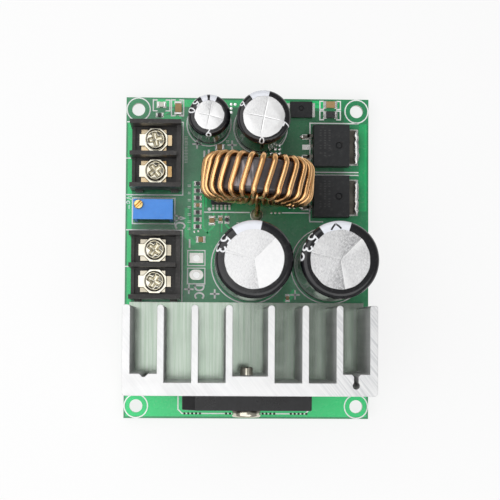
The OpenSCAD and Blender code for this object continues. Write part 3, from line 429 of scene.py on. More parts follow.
def recessDepth(u, v, kind, size):      # how far a driver's recess goes down, from 0 to 1
    def step(value):
        value = max(0.0, min(1.0, value))
        return value * value * (3 - 2 * value)
    if kind == "slot":
        return step(1.3 - abs(v) / size["slotWide"] * 2)
    arms = max(step(1.15 - abs(b) / size["armWide"] * 2) * step((size["armLong"] / 2 - abs(a)) / 0.5)
               for a, b in ((u, v), (v, u)))      # the arms have sloping sides
    away = math.hypot(u, v)
    return max(arms * (1.0 - 0.35 * min(1.0, away / size["armLong"] * 2)), 1.1 - away / size["well"])


def turnedScrew(bm, place, size, kind="cross", turn=0.0):      # a head with its recess, and a shank
    sides, topRings, seat, tip = 96, 26, 0.02, 0.3
    radius, tall, edge, shank, long = (size[key] for key in ("radius", "tall", "edge", "shank", "long"))
    inner = radius - edge
    profile = [(inner * i / topRings, None) for i in range(1, topRings + 1)]      # the head's top
    profile += [(inner + edge * math.sin(math.radians(a)), tall - edge + edge * math.cos(math.radians(a)))
                for a in (18, 36, 54, 72, 90)]
    profile += [(radius, tall * 0.12), (radius * 0.96, seat), (shank, seat)]
    profile += [(shank, -long + tip), (shank - tip, -long)]
    cosTurn, sinTurn = math.cos(math.radians(turn)), math.sin(math.radians(turn))

    def topAt(x, y):
        u, v = x * cosTurn + y * sinTurn, y * cosTurn - x * sinTurn
        crown = size["crown"] * (1 - (x * x + y * y) / inner ** 2)
        return tall - size["crown"] + crown - size["deep"] * recessDepth(u, v, kind, size)
    top = bm.verts.new(place(0, 0, topAt(0, 0)))
    rows = []
    for away, z in profile:
        row = []
        for a in roundAngles(sides):
            x, y = away * math.cos(a), away * math.sin(a)
            level = topAt(x, y) if z is None else z
            if z is not None and z > tall * 0.3 and kind == "slot":      # it runs out through the rim
                level = min(z, topAt(x, y) + size["crown"] * 0.6)
            row.append(bm.verts.new(place(x, y, level)))
        rows.append(row)
    for k in range(sides):
        bm.faces.new((top, rows[0][k], rows[0][(k + 1) % sides]))
    joinRows(bm, rows)
    bm.faces.new(rows[-1])


def fitScrew(node, material, size, kind="cross", turn=0.0, lying=False):      # stands for a CAD screw
    low, high = boxOf(node)
    middle = (low + high) / 2
    whole = high.y - low.y if lying else high.z - low.z
    size = dict(size, radius=(high.x - low.x) / 2, long=whole - size["tall"])

    def place(x, y, z):
        if lying:
            return Vector((middle.x + x, low.y + size["tall"] - z, middle.z + y)) * mm
        return Vector((middle.x + x, middle.y + y, high.z - size["tall"] + z)) * mm
    bm = bmesh.new()
    turnedScrew(bm, place, size, kind, turn)
    piece = addPiece(node + "_turned", bm, material, bodyOf[node], 60)
    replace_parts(piece, node)


def islands(node):      # the corners of each separate solid of a node
    bm = bmesh.new()
    bm.from_mesh(frame["nodes"][node].data)
    bmesh.ops.remove_doubles(bm, verts=bm.verts, dist=2e-6)
    seen, found = set(), []
    for first in bm.verts:
        if first in seen:
            continue
        group, waiting = [], [first]
        seen.add(first)
        while waiting:
            vert = waiting.pop()
            group.append(vert.co / mm)
            for edge in vert.link_edges:
                other = edge.other_vert(vert)
                if other not in seen:
                    seen.add(other)
                    waiting.append(other)
        found.append((Vector([min(p[i] for p in group) for i in range(3)]),
                      Vector([max(p[i] for p in group) for i in range(3)])))
    bm.free()
    return found


glyphs = {      # each mark as lines in a cell 0.6 wide and 1 high
    "A": [[(0, 0), (0.3, 1), (0.6, 0)], [(0.12, 0.36), (0.48, 0.36)]],
    "C": [arc(0.35, 0.5, 0.35, 0.5, 52, 308)],
    "D": [[(0, 0), (0, 1), (0.15, 1)] + arc(0.15, 0.5, 0.42, 0.5, 80, -80) + [(0.15, 0), (0, 0)]],
    "V": [[(0, 1), (0.3, 0), (0.6, 1)]],
    "o": [arc(0.28, 0.3, 0.26, 0.3, 0, 360)],
    "-": [[(0, 0.5), (0.6, 0.5)]],
    "0": [arc(0.3, 0.5, 0.28, 0.5, 0, 360, 18)],
    "2": [arc(0.3, 0.7, 0.28, 0.3, 165, -35, 9) + [(0.02, 0), (0.6, 0)]],
    "3": [arc(0.28, 0.75, 0.26, 0.25, 150, -90, 9) + arc(0.28, 0.25, 0.3, 0.25, 90, -150, 9)],
    "5": [[(0.55, 1), (0.12, 1), (0.06, 0.57)] + arc(0.28, 0.32, 0.29, 0.32, 125, -140, 9)],
    "6": [[(0.42, 1)] + arc(0.3, 0.3, 0.28, 0.3, 150, 500, 14)],
    "7": [[(0, 1), (0.6, 1), (0.2, 0)]],
}


def writeMarks(bm, text, x, y, tall, turn, weight, low, high, place=None, pitch=0.85):
    across = Vector((math.cos(math.radians(turn)), math.sin(math.radians(turn)))) * tall
    up = Vector((-across.y, across.x))
    for index, mark in enumerate(text):
        for line in glyphs[mark]:
            path = [Vector((x, y)) + across * (index * pitch + a) + up * b for a, b in line]
            strokePath(bm, [tuple(p) for p in path], weight, low, high, place=place)


# Circuit board

boardValues = {
    # the brightest green is the mask over copper, also used as painted light; the darkest green is a painted
    # shade
    "mask": (0.018, 0.30, 0.110), "maskShade": (0.010, 0.23, 0.085), "copperMaskAndPaintedLight": (0.008, 0.66, 0.19),
    "paintedShadeMask": (0.008, 0.13, 0.045), "laminate": (0.30, 0.34, 0.14), "ink": (0.97, 0.98, 0.97),
    "inkHeight": 0.02, "inkLine": 0.29, "signWeight": 0.42, "holeRing": 2.85,
    "holeInset": 3.0, "viaRadius": 0.36, "leadPitch": 2.54,
    "areas": (      # corners of each area, how strongly it shows, and its colour: painted light on the mask, partly standing for copper under it, and one painted shade
        (-edgeX + 0.4, -edgeY + 0.4, edgeX - 0.4, -30, 1, "copperMaskAndPaintedLight"),
        (-edgeX + 0.4, -30, -28.4, 33.4, 1, "copperMaskAndPaintedLight"),
        (27.6, 11.6, edgeX - 0.4, 33.4, 0.35, "copperMaskAndPaintedLight"),
        (29.0, 11.6, edgeX - 0.4, 33.4, 0.35, "copperMaskAndPaintedLight"),
        (-22.6, 37.2, 22.6, edgeY - 0.4, 1, "copperMaskAndPaintedLight"),
        (-15.4, -3.0, -6.8, 9.4, 0.3, "copperMaskAndPaintedLight"), (8.8, 20.5, 24, 36.6, 0.7, "paintedShadeMask")),
    "tracks": (      # width and points
        (1.1, [(-14.9, 11.6), (-14.9, 5.2), (-13.2, 3.6)]), (0.45, [(-13.4, 18.6), (-13.4, 7.4)]),
        (0.45, [(-10.9, 18.9), (-10.9, 7.2), (-9.2, 5.5)]), (0.4, [(-10.2, 20.0), (-10.2, 12.6)]),
        (0.4, [(-8.3, 10.9), (-8.3, 7.6), (-9.9, 6.0)]), (0.4, [(-6.3, 10.9), (-6.3, 6.4)]),
        (0.4, [(-5.2, 10.9), (-5.2, 8.0), (-3.4, 6.2)]), (1.2, [(-20.6, 34.6), (-17.0, 34.6)]),
        (1.4, [(9.9, -10.5), (11.6, -8.6)]), (0.5, [(-18.6, 36.6), (-20.6, 35.4)]),
        (0.5, [(16.8, 38.4), (18.6, 38.0)])),
    "tinnedVias": ((6, 11.1), (7, 11.1), (8, 11.1), (-13.0, 6.3), (-12.0, 6.45), (10.5, 12.4),
                   (11.6, 12.4), (10.5, 13.5), (11.6, 13.5)),
    "filledVias": (*((x, y) for x in (5.9, 6.95, 7.95) for y in (28, 27, 25.9, 24.9)),
                   (-4.1, 38), (-3.1, 38), (-4.1, 37), (-4.1, 36)),
    "openVias": (-13.2, -3.0, 5.0, 12.9),      # the middle of each group of five
    "padReach": {"chip_ends": 0.16, "controller_leads": 0.06, "diode_terminals": 0.15},
}


def paintedLightAndEdges(tree, base):      # painted light and shade on areas of the mask, the light partly standing for copper under it, and bare laminate on the sawn edges
    for x0, y0, x1, y1, share, colour in boardValues["areas"]:
        at = Vector(((x0 + x1) / 2, (y0 + y1) / 2, 0)) * mm
        half = Vector(((x1 - x0) / 2, (y1 - y0) / 2, 1000)) * mm
        mask = useGroup(tree, region, {"Middle": at, "Half Size": half})["Mask"]
        base = blendColours(tree, calc(tree, "MULTIPLY", mask, share), base, rgba(boardValues[colour]))
    return blendColours(tree, facing(tree, "Z", 0.3, 0.6), rgba(boardValues["laminate"]), base)


maskFinish = madeOf("solder mask", boardValues["mask"], boardValues["maskShade"], 0.6, rough=0.26,
                    spread=0.05, scale=1600, height=0.000012, bump=0.25, dusty=0.10, coat=0.35,
                    coatRough=0.12, paint=paintedLightAndEdges)
copperFinish = madeOf("mask over copper", boardValues["copperMaskAndPaintedLight"], boardValues["mask"], 0.35,
                      rough=0.24, scale=1500, bump=0.25, dusty=0.08, coat=0.35, coatRough=0.12)
inkFinish = madeOf("white ink", boardValues["ink"], (0.78, 0.83, 0.79), 0.3, rough=0.6, scale=5200,
                   height=0.000006, bump=0.5)
solderFinish = madeOf("solder", (0.70, 0.70, 0.69), (0.50, 0.50, 0.49), 0.6, metallic=1.0, rough=0.28,
                      spread=0.12, scale=1500, height=0.00004, bump=0.5, worn=(0.95, 0.95, 0.94),
                      wear=0.4)
brightSolder = madeOf("bright solder", (0.95, 0.95, 0.94), (0.88, 0.88, 0.87), metallic=0.9, rough=0.22,
                      bump=0.2)
tinnedFinish = madeOf("tinned copper", (0.60, 0.60, 0.58), (0.48, 0.47, 0.44), 0.6, metallic=1.0,
                      rough=0.3, spread=0.08, stretch=(1, 1, 0.2), scale=1800, worn=(0.93, 0.93, 0.92),
                      wear=0.5)
holeShadeFinish = madeOf("dark hole", (0.010, 0.022, 0.014), (0.02, 0.05, 0.03), rough=0.5, scale=3000)

dress("circuit_board", maskFinish)
dress("wire_pads", tinnedFinish)
dress("solder_joints", solderFinish)

inkLow, inkTop = boardTop + 0.004, boardTop + 0.004 + boardValues["inkHeight"]

largeLeft, largeRight = middleOf("left_capacitor_sleeve"), middleOf("right_capacitor_sleeve")
mediumCan, smallCan = middleOf("medium_capacitor_sleeve"), middleOf("small_capacitor_sleeve")
outputLow, outputHigh = boxOf("output_housing")
inputLow, inputHigh = boxOf("input_housing")
trimmerLow, trimmerHigh = boxOf("trimmer_body")
padsLow, padsHigh = boxOf("wire_pads")
bridgeLow, bridgeHigh = boxOf("bridge_rectifier")
sinkLow = boxOf("heatsink")[0]
upperCase, lowerCase = boxOf("upper_mosfet_case"), boxOf("lower_mosfet_case")


def inkLine(bm, points, closed=False, width=None):
    strokePath(bm, points, width or boardValues["inkLine"], inkLow, inkTop, closed)


printValues = {      # where the printed marks lie, and how large they are
    "cans": ((largeLeft, 9.55, None), (largeRight, 9.5, (12, 348)), (smallCan, 5.45, None),
             (mediumCan, 6.62, (-38, 284))),      # radius, and the part that is drawn
    "pads": ((0.2, 3.9), (-4.3, -0.45)), "caseLine": 27.4, "coreLine": 11.15, "frameEnd": 0.9,
    "frames": ((-23.4, 36.2, -19.3, 38.9), (-18.9, 35.0, -15.9, 38.95), (17.9, 37.0, 23.0, 39.0),
               (17.9, 34.4, 23.0, 36.6)),
    "bars": ((-10.7, 25.6), (-9.6, 25.9)),
    "words": (("AC", -17.7, 10.3, 2.3, 0.42, 0.78), ("DC", -12.75, -6.95, 2.15, 0.42, 0.85),
              ("Vo-", -29.75, 14.9, 1.25, 0.2, 0.9)),      # place, height, line and spacing
    "signs": ((-14.25, -7.9, 0.95), (-7.9, -9.0, 0.95), (11.9, -9.1, 0.95), (-12.5, 28.0, 0.95),
              (-3.85, 27.85, 0.95), (14.6, -7.6, 0.5)),
    "ticks": ((-14.35, 6.8, 19.2, 1.775), (-15.2, 23.4, 29.4, 0.75), (-2.3, 8.2, 8.4, 1),
              (-8.9, 20.3, 24.3, 2.0), (-7.6, 9.1, 9.3, 1), (-5.0, 28.6, 29.4, 1)),
}


def inkRing(bm, x, y, radius, span=None):      # a printed circle, or a part of one
    points = arc(x, y, radius, radius, *(span or (0, 360)), 48)
    inkLine(bm, points if span else points[:-1], not span)


def frameParts(bm):      # the lines round the larger parts
    right, back, poleY = outputHigh.x + 0.35, -edgeX + 0.3, 0.4
    inkLine(bm, [(back, outputLow.y - 0.45), (right, outputLow.y - 0.45),
                 (right, outputHigh.y + poleY), (back, outputHigh.y + poleY)])
    inkLine(bm, [(back, inputHigh.y + poleY), (right, inputHigh.y + poleY), (right, inputLow.y)])
    for low, high in ((outputLow, outputHigh), (inputLow, inputHigh)):
        inkLine(bm, [(-edgeX + 0.15, (low.y + high.y) / 2), (low.x, (low.y + high.y) / 2)])
    inkLine(bm, boxLine(trimmerLow.x - 0.6, trimmerLow.y - 0.4, trimmerHigh.x + 0.3,
                        trimmerHigh.y + 1.1), True)
    for low, high in printValues["pads"]:
        y = (padsLow.y + padsHigh.y) / 2
        inkLine(bm, boxLine(padsLow.x - 0.45, y + low, padsHigh.x + 0.4, y + high), True)
    for can, radius, span in printValues["cans"]:
        inkRing(bm, can.x, can.y, radius, span)
    left, end = lowerCase[0].x - 0.45, printValues["caseLine"]
    inkLine(bm, [(end, upperCase[1].y + 0.9), (left, upperCase[1].y + 0.9), (left, lowerCase[0].y - 0.9),
                 (left + 3.2, lowerCase[0].y - 0.9)])
    for y in (upperCase[0].y - 1.1, lowerCase[1].y + 0.5):
        inkLine(bm, [(left, y), (end, y)])
    x0, x1, y0, y1 = bridgeLow.x - 1.2, bridgeHigh.x + 1.0, sinkLow.y - 0.4, -edgeY + 1.2
    inkLine(bm, [(x0, y0), (x0, y1 + 1), (x0 + 1, y1), (x1 - 1, y1), (x1, y1 + 1), (x1, y0)])
    for start, stop in ((-10.5, 0.5), (8.7, left)):
        inkLine(bm, [(start, printValues["coreLine"]), (stop, printValues["coreLine"])])
    for x0, y0, x1, y1 in printValues["frames"]:
        for corner, inward in ((x0, printValues["frameEnd"]), (x1, -printValues["frameEnd"])):
            inkLine(bm, [(corner + inward, y0), (corner, y0), (corner, y1), (corner + inward, y1)])


def printBoard():
    bm = bmesh.new()
    inset, weight = boardValues["holeInset"], boardValues["signWeight"]
    for sideX in (-1, 1):
        for sideY in (-1, 1):
            inkRing(bm, sideX * (edgeX - inset), sideY * (edgeY - inset), boardValues["holeRing"])
    frameParts(bm)
    for x, y in printValues["bars"]:
        inkLine(bm, [(x, y - 0.55), (x, y + 0.55)], width=0.5)
    for word, x, y, tall, line, pitch in printValues["words"]:
        writeMarks(bm, word, x, y, tall, -90, line, inkLow, inkTop, pitch=pitch)
    inkLine(bm, [(-14.15, 4.25), (-14.15, 2.5)], width=weight)
    for x, y, size in printValues["signs"]:
        inkLine(bm, [(x - size, y), (x + size, y)], width=weight)
        inkLine(bm, [(x, y - size), (x, y + size)], width=weight)
    disc(bm, -9.35, 11.9, 0.42, inkLow, inkTop)
    draw = random.Random(7)      # small part marks, as plain ticks
    for x, y, last, step in printValues["ticks"]:
        while y <= last:
            for k in range(2):
                rise = 0.26 + 0.1 * draw.random()
                inkLine(bm, [(x - rise, y + 0.38 * k), (x + rise, y + 0.38 * k)], width=0.13)
            y += step
    addPiece("printed_marks", bm, inkFinish)


def layCopper():      # wide tracks, raised a little under the mask
    bm = bmesh.new()
    for width, points in boardValues["tracks"]:
        strokePath(bm, points, width, boardTop - 0.02, boardTop + 0.012)
    addPiece("copper_tracks", bm, copperFinish)


def tinPads():      # the bare pads round the small parts, and the plated vias
    low, high = boardTop - 0.02, boardTop + 0.03
    bm = bmesh.new()
    for node, grow in boardValues["padReach"].items():
        for start, end in islands(node):
            plate(bm, start.x - grow, start.y - grow, end.x + grow, end.y + grow, low, high)
    for start, end in (upperCase, lowerCase):
        y = (start.y + end.y) / 2
        for shift in (-boardValues["leadPitch"], 0, boardValues["leadPitch"]):
            plate(bm, start.x - 2.35, y + shift - 0.62, start.x - 0.1, y + shift + 0.62, low, high)
        plate(bm, end.x - 0.2, y - 4.5, end.x + 2.3, y + 4.5, low, high)
    for x, y in boardValues["tinnedVias"]:
        disc(bm, x, y, 0.27, low, high, 16, 0.05)
    addPiece("tinned_pads", bm, tinnedFinish)
    bm = bmesh.new()
    for x, y in boardValues["filledVias"]:
        disc(bm, x, y, boardValues["viaRadius"], low, high, 16, 0.03)
    addPiece("filled_vias", bm, brightSolder)
    bm = bmesh.new()
    # dark discs painted as the shade inside the open via holes
    for middle in boardValues["openVias"]:
        for step in range(5):
            disc(bm, middle + (step - 2) * 0.95, -edgeY + 1.2, 0.3, low, inkTop + 0.012, 14)
    addPiece("open_vias", bm, holeShadeFinish)


def laySolder():      # beads of solder on the tabs, the leads and the chips' ends
    bm = bmesh.new()
    low, frameTop = boardTop + 0.01, boxOf("upper_mosfet_frame")[1].z
    for start, end in (upperCase, lowerCase):
        y = (start.y + end.y) / 2
        for shift, wide in ((0, 1.15), (0.25, 0.7)):      # a ragged run on the tab's edge
            bead(bm, [(26.75 + 0.3 * noise.noise(Vector((i * 0.4, y, 2))), y - 4.3 + 0.4 * i + shift)
                      for i in range(21)], wide, 0.42, frameTop - 0.3 + shift * 0.3, y + shift)
        for shift in (-boardValues["leadPitch"], boardValues["leadPitch"]):
            bead(bm, [(12.9 + 0.3 * i, y + shift) for i in range(7)], 1.0, 0.3, low, y + shift)
    for start, end in islands("chip_ends"):
        x, y = (start.x + end.x) / 2, (start.y + end.y) / 2
        deep = end.y - start.y
        bead(bm, [(x, y + (i / 6 - 0.5) * (deep + 0.2)) for i in range(7)], end.x - start.x + 0.24, 0.2,
             low, x + y)
    addPiece("solder_beads", bm, solderFinish)


printBoard()
layCopper()
tinPads()
laySolder()
print("board done")


# Heatsink, its insulating sheet and its pins

sinkValues = {"metal": (0.82, 0.82, 0.82), "shade": (0.68, 0.69, 0.69), "sawn": (0.77, 0.77, 0.77),
              "sawnShade": (0.56, 0.57, 0.58), "easedEdge": 0.12}


def sawnEnds(tree, base):      # the sawn ends are brighter than the drawn sides, with slanting marks
    marks = useGroup(tree, grain, {"Stretch": (0.05, 1.6, 1), "Turn": 0.9, "Scale": 7000})["Value"]
    along = splitUp(tree, placeOf(tree))["X"]
    deep = ramp(tree, along, 0.008, 0.027, 0.25, 1.0)      # the blade left the cut at this end
    sawn = blendColours(tree, calc(tree, "MULTIPLY", marks, deep), rgba(sinkValues["sawn"]),
                        rgba(sinkValues["sawnShade"]))
    return blendColours(tree, facing(tree, "Z", 0.6, 0.8), base, sawn)


aluminiumFinish = madeOf("extruded aluminium", sinkValues["metal"], sinkValues["shade"], 0.6,
                         metallic=0.6, rough=0.45, spread=0.08, stretch=(1, 1, 0.02), scale=2600,
                         height=0.00003, bump=0.5, worn=(0.98, 0.98, 0.98), wear=0.6, paint=sawnEnds)
# the sheet's grey is tinted green, a painted reflection of the board
sheetFinish = madeOf("insulating sheet", (0.37, 0.42, 0.37), (0.24, 0.33, 0.245), 0.6, metallic=0.85,
                     rough=0.13, spread=0.03, stretch=(1, 0.02, 1), scale=9000, bump=0.18, dusty=0.03,
                     coat=0.2, coatRough=0.15)
steelFinish = madeOf("tinned steel", (0.78, 0.78, 0.76), (0.66, 0.66, 0.64), metallic=1.0, rough=0.3,
                     stretch=(1, 1, 0.1), worn=(0.9, 0.9, 0.9), wear=0.4)
nickelFinish = madeOf("nickel plate", (0.70, 0.67, 0.57), (0.54, 0.50, 0.39), 0.6, metallic=1.0,
                      rough=0.16, spread=0.07, scale=700, height=0.00003, bump=0.25,
                      worn=(0.95, 0.93, 0.86), wear=0.7)
screwSize = {"tall": 1.7, "edge": 0.5, "crown": 0.3, "deep": 1.15, "shank": 1.45, "armWide": 1.3,
             "armLong": 3.9, "well": 1.0}


def mouldedIn(name, dents=()):
    return madeOf(name, (0.014, 0.015, 0.017), (0.022, 0.023, 0.025), 0.7, rough=0.5, scale=6000,
                  height=0.00002, bump=0.5, worn=(0.09, 0.09, 0.095), wear=0.7, dusty=0.04,
                  specular=0.35, dents=dents)


epoxyFinish = mouldedIn("moulding compound")

softened("heatsink", aluminiumFinish, sinkValues["easedEdge"])
dress("insulating_sheet", sheetFinish)
dress("heatsink_pins", steelFinish)
glossyCase = madeOf("polished case", (0.007, 0.007, 0.008), (0.014, 0.014, 0.016), 0.7, rough=0.3,
                    spread=0.05, scale=3000, height=0.00002, bump=0.3, worn=(0.10, 0.10, 0.105),
                    wear=0.7, coat=0.12, coatRough=0.2, specular=0.3)
softened("bridge_rectifier", glossyCase, 0.28, 3)
softened("bridge_leads", tinnedFinish, 0.08)
fitScrew("bridge_screw", nickelFinish, dict(screwSize, tall=boxOf("bridge_rectifier")[0].y
                                            - boxOf("bridge_screw")[0].y), turn=20, lying=True)
print("heatsink and rectifier done")


# Terminal blocks

terminalValues = {"plastic": (0.024, 0.022, 0.021), "plating": (0.56, 0.52, 0.43),
                  "thinPlating": (0.58, 0.49, 0.34), "brass": (0.40, 0.24, 0.09), "easedEdge": 0.14,
                  "turns": {"output": (38, 12), "input": (-28, 55)}}      # how each screw was left
blockFinish = madeOf("terminal plastic", terminalValues["plastic"], (0.040, 0.036, 0.034), 0.6,
                     rough=0.38, spread=0.08, scale=2600, height=0.00003, bump=0.4,
                     worn=(0.11, 0.105, 0.10), wear=0.6, dusty=0.08, specular=0.4)
contactFinishes = {      # one strip is bare brass, the other plated
    "output": madeOf("bare brass", terminalValues["thinPlating"], terminalValues["brass"], 1.0,
                     metallic=1.0, rough=0.26, scale=520, height=0.00002, bump=0.25,
                     worn=(0.8, 0.66, 0.42), wear=0.6),
    "input": madeOf("plated brass", terminalValues["plating"], (0.36, 0.32, 0.24), 0.9, metallic=1.0,
                    rough=0.24, scale=700, height=0.00002, bump=0.25, worn=(0.8, 0.7, 0.45), wear=0.6)}
for block in ("output", "input"):
    softened(block + "_housing", blockFinish, terminalValues["easedEdge"])
    softened(block + "_contacts", contactFinishes[block], 0.08)
    for pole, turn in zip(("1", "2"), terminalValues["turns"][block]):
        softened(block + "_clamp_" + pole, nickelFinish, 0.14, 3)
        fitScrew(block + "_screw_" + pole, nickelFinish, screwSize, turn=turn)
print("terminals done")


# Trimmer

trimmerValues = {"plastic": (0.055, 0.27, 0.80), "shade": (0.04, 0.22, 0.70), "easedEdge": 0.16,
                 "foot": 1.0, "fillSteps": (24, 12)}
bluePlastic = madeOf("trimmer plastic", trimmerValues["plastic"], trimmerValues["shade"], rough=0.33,
                     scale=2200, height=0.00002, worn=(0.25, 0.5, 0.95), wear=0.5, dusty=0.06)
turnedBrass = madeOf("turned brass", (0.80, 0.60, 0.26), (0.68, 0.47, 0.17), 0.6, metallic=1.0,
                     rough=0.25, scale=1800, worn=(0.95, 0.82, 0.5), wear=0.6)
softened("trimmer_body", bluePlastic, trimmerValues["easedEdge"])
fitScrew("trimmer_screw", turnedBrass, {"tall": 2.0, "edge": 0.14, "crown": 0.04, "deep": 0.8,
                                        "shank": 0.9, "slotWide": 0.62}, "slot", 45)
dress("trimmer_pins", tinnedFinish)
# the case's hollow side is filled with a painted shade, tinted green as a painted reflection of the board
recessShadeFinish = madeOf("painted recess shade", (0.02, 0.11, 0.07), (0.03, 0.20, 0.11), 0.8, rough=0.35,
                       scale=1800, height=0.00008, bump=0.7)


def shadeTrimmerRecess():      # a dark green block in the hollow side of the case: painted shade, with a painted reflection of the board
    bm = bmesh.new()
    foot, (across, upward) = trimmerValues["foot"], trimmerValues["fillSteps"]
    low = [trimmerLow.x + foot, trimmerLow.y + 0.05, boardTop + 0.35]
    high = [trimmerHigh.x - foot, trimmerLow.y + 0.29, trimmerHigh.z - 1.05]
    front, back = [], []
    for i in range(across + 1):
        row = []
        for k in range(upward + 1):
            x, z = low[0] + (high[0] - low[0]) * i / across, low[2] + (high[2] - low[2]) * k / upward
            dip = 0.09 * (0.5 + 0.5 * noise.noise(Vector((x * 1.1, z * 1.1, 3))))
            row.append(bm.verts.new(Vector((x, low[1] + dip, z)) * mm))
        front.append(row)
        back.append([bm.verts.new(Vector((vert.co.x / mm, high[1], vert.co.z / mm)) * mm)
                     for vert in row])
    for grid in (front, back):
        joinRows(bm, grid, around=False)
    rim = ([(i, 0) for i in range(across)] + [(across, k) for k in range(upward)]
           + [(i, upward) for i in range(across, 0, -1)] + [(0, k) for k in range(upward, 0, -1)])
    for (i, k), (nextI, nextK) in zip(rim, rim[1:] + rim[:1]):
        bm.faces.new((front[i][k], front[nextI][nextK], back[nextI][nextK], back[i][k]))
    addPiece("trimmer_recess_shade", bm, recessShadeFinish)


shadeTrimmerRecess()
print("trimmer done")


# Electrolytic capacitors

sleeveValues = {
    "black": (0.006, 0.006, 0.008), "stripe": (0.86, 0.88, 0.94), "ink": (0.92, 0.93, 0.95),
    "shoulder": 1.25, "skin": 0.10, "wrinkle": 0.05, "crimpAt": 3.0, "crimpDeep": 0.5,
    "sides": 144, "inkSpan": (0.004, 0.018), "chevron": ((-1.15, 0.35), (0, -0.7), (1.15, 0.35)),
    "seeds": {"left": 1.0, "right": 4.3, "medium": 8.1, "small": 12.7},
    "cans": {      # fold width, stripe, dark wedge, and each mark with its angle and its place inwards
        "left": (2.2, (78, 126), None, [("5", 146, 0.1), ("3", 163, 0.1)]),
        "right": (2.2, (73, 123), None, [("5", 142, 0.1), ("3", 161, 0.1), ("2", 176, 1.6)]),
        "medium": (1.5, (77, 124), None, [("7", -20, 0.1), ("0", -95, 0.1), ("6", 150, 0.1)]),
        "small": (1.6, (67, 117), (88, 97), [("0", 166, 0.1), ("5", 138, 0.1), ("6", -92, 0.1)]),
    },
}


canValues = {
    "metal": (0.86, 0.86, 0.86), "shade": (0.77, 0.77, 0.78), "paintedShade": (0.33, 0.33, 0.34), "mottling": 0.75,
    "scoreWide": 0.34, "scoreDeep": 0.045, "scoreTip": 0.6, "fan": 24,
    "scores": {"medium": (77, 170, 260, 347), "small": (80, 170, 258, 345)},
    "paintedShades": {      # angles of each part of the top that has painted shade, how soft its two sides are, and how dark it is; a negative amount paints a highlight line along a score
        "left": ((45, 165, 0.5, 0.5, 0.19), (165, 280, 0.5, 0.5, 0.19), (235, 280, 45, 0.5, 0.24),
                 (45, 90, 0.5, 45, 0.14), (164, 166, 0.4, 0.4, -0.3), (166, 171, 0.3, 4, 0.2),
                 (160, 164, 3, 0.3, 0.12), (44, 46, 0.4, 0.4, -0.2), (279, 281, 0.4, 0.4, -0.3)),
        "right": ((-80, 45, 20, 20, 0.30), (45, 165, 0.5, 0.5, 0.28), (45, 100, 0.5, 55, 0.5),
                  (165, 280, 0.5, 0.5, 0.34), (230, 280, 50, 0.5, 0.5), (164, 166, 0.4, 0.4, -0.4),
                  (166, 171, 0.3, 4, 0.25), (160, 164, 3, 0.3, 0.2), (44, 46, 0.4, 0.4, -0.3),
                  (279, 281, 0.4, 0.4, -0.4)),
        "medium": ((77, 170, 0.5, 0.5, 0.16), (170, 260, 0.5, 0.5, 0.12), (347, 380, 0.5, 33, 0.14),
                   (77, 110, 0.5, 33, 0.10)),
        "small": ((80, 170, 0.5, 0.5, 0.14), (80, 125, 0.5, 45, 0.4), (50, 80, 30, 0.5, 0.4),
                  (170, 258, 0.5, 0.5, 0.08), (300, 345, 45, 0.5, 0.4)),
    },
}


def between(tree, centre, start, end, startSoft=0.5, endSoft=0.5):
    return useGroup(tree, sector, {"Centre": centre, "From": start, "Width": end - start,
                                   "Start Soft": startSoft, "End Soft": endSoft})["Mask"]


def stripedSleeve(name, centre, stripe, wedge):
    def stripes(tree, base):
        at = (centre.x * mm, centre.y * mm, 0)
        mask = between(tree, at, *stripe)
        if wedge:
            mask = calc(tree, "MULTIPLY", mask, calc(tree, "SUBTRACT", 1.0, between(tree, at, *wedge)))
        return blendColours(tree, mask, base, rgba(sleeveValues["stripe"]))
    return madeOf(name + " sleeve", sleeveValues["black"], (0.010, 0.010, 0.012), rough=0.16,
                  spread=0.05, scale=700, height=0.00006, bump=0.25, coat=0.3, coatRough=0.08,
                  dusty=0.03, specular=0.35, paint=stripes)


def paintedShadeTop(name, centre, paintedShades):      # brushed aluminium, with painted shade that differs between its scores and painted highlight lines along some scores
    at = (centre.x * mm, centre.y * mm, 0)

    # painted shade on parts of the top, mottled by the brushing marks
    def sectors(tree, base):
        total = 0.03
        for start, end, startSoft, endSoft, amount in paintedShades:
            mask = between(tree, at, start, end, startSoft, endSoft)
            total = calc(tree, "ADD", total, calc(tree, "MULTIPLY", mask, amount))
        marks = 0.0
        for turn in (0.6, -0.5):
            brushed = useGroup(tree, grain, {"Stretch": (1.5, 0.5, 1), "Turn": turn, "Scale": 13000})["Value"]
            marks = calc(tree, "ADD", marks, calc(tree, "MULTIPLY", brushed, canValues["mottling"]))
        paintedShade = calc(tree, "MULTIPLY", total, calc(tree, "ADD", marks, 1.0 - canValues["mottling"]),
                   clamp=True)
        return blendColours(tree, paintedShade, base, rgba(canValues["paintedShade"]))
    return madeOf(name + " can", canValues["metal"], canValues["shade"], 0.4, metallic=0.8, rough=0.38,
                  spread=0.08, scale=6500, height=0.00003, worn=(1, 1, 1), wear=0.5, paint=sectors)


canInk = madeOf("sleeve ink", sleeveValues["ink"], (0.7, 0.71, 0.74), rough=0.3, scale=3000,
                height=0.000006)
canDark = madeOf("dark sleeve ink", (0.015, 0.015, 0.018), (0.03, 0.03, 0.033), rough=0.25, scale=3000,
                 height=0.000006)


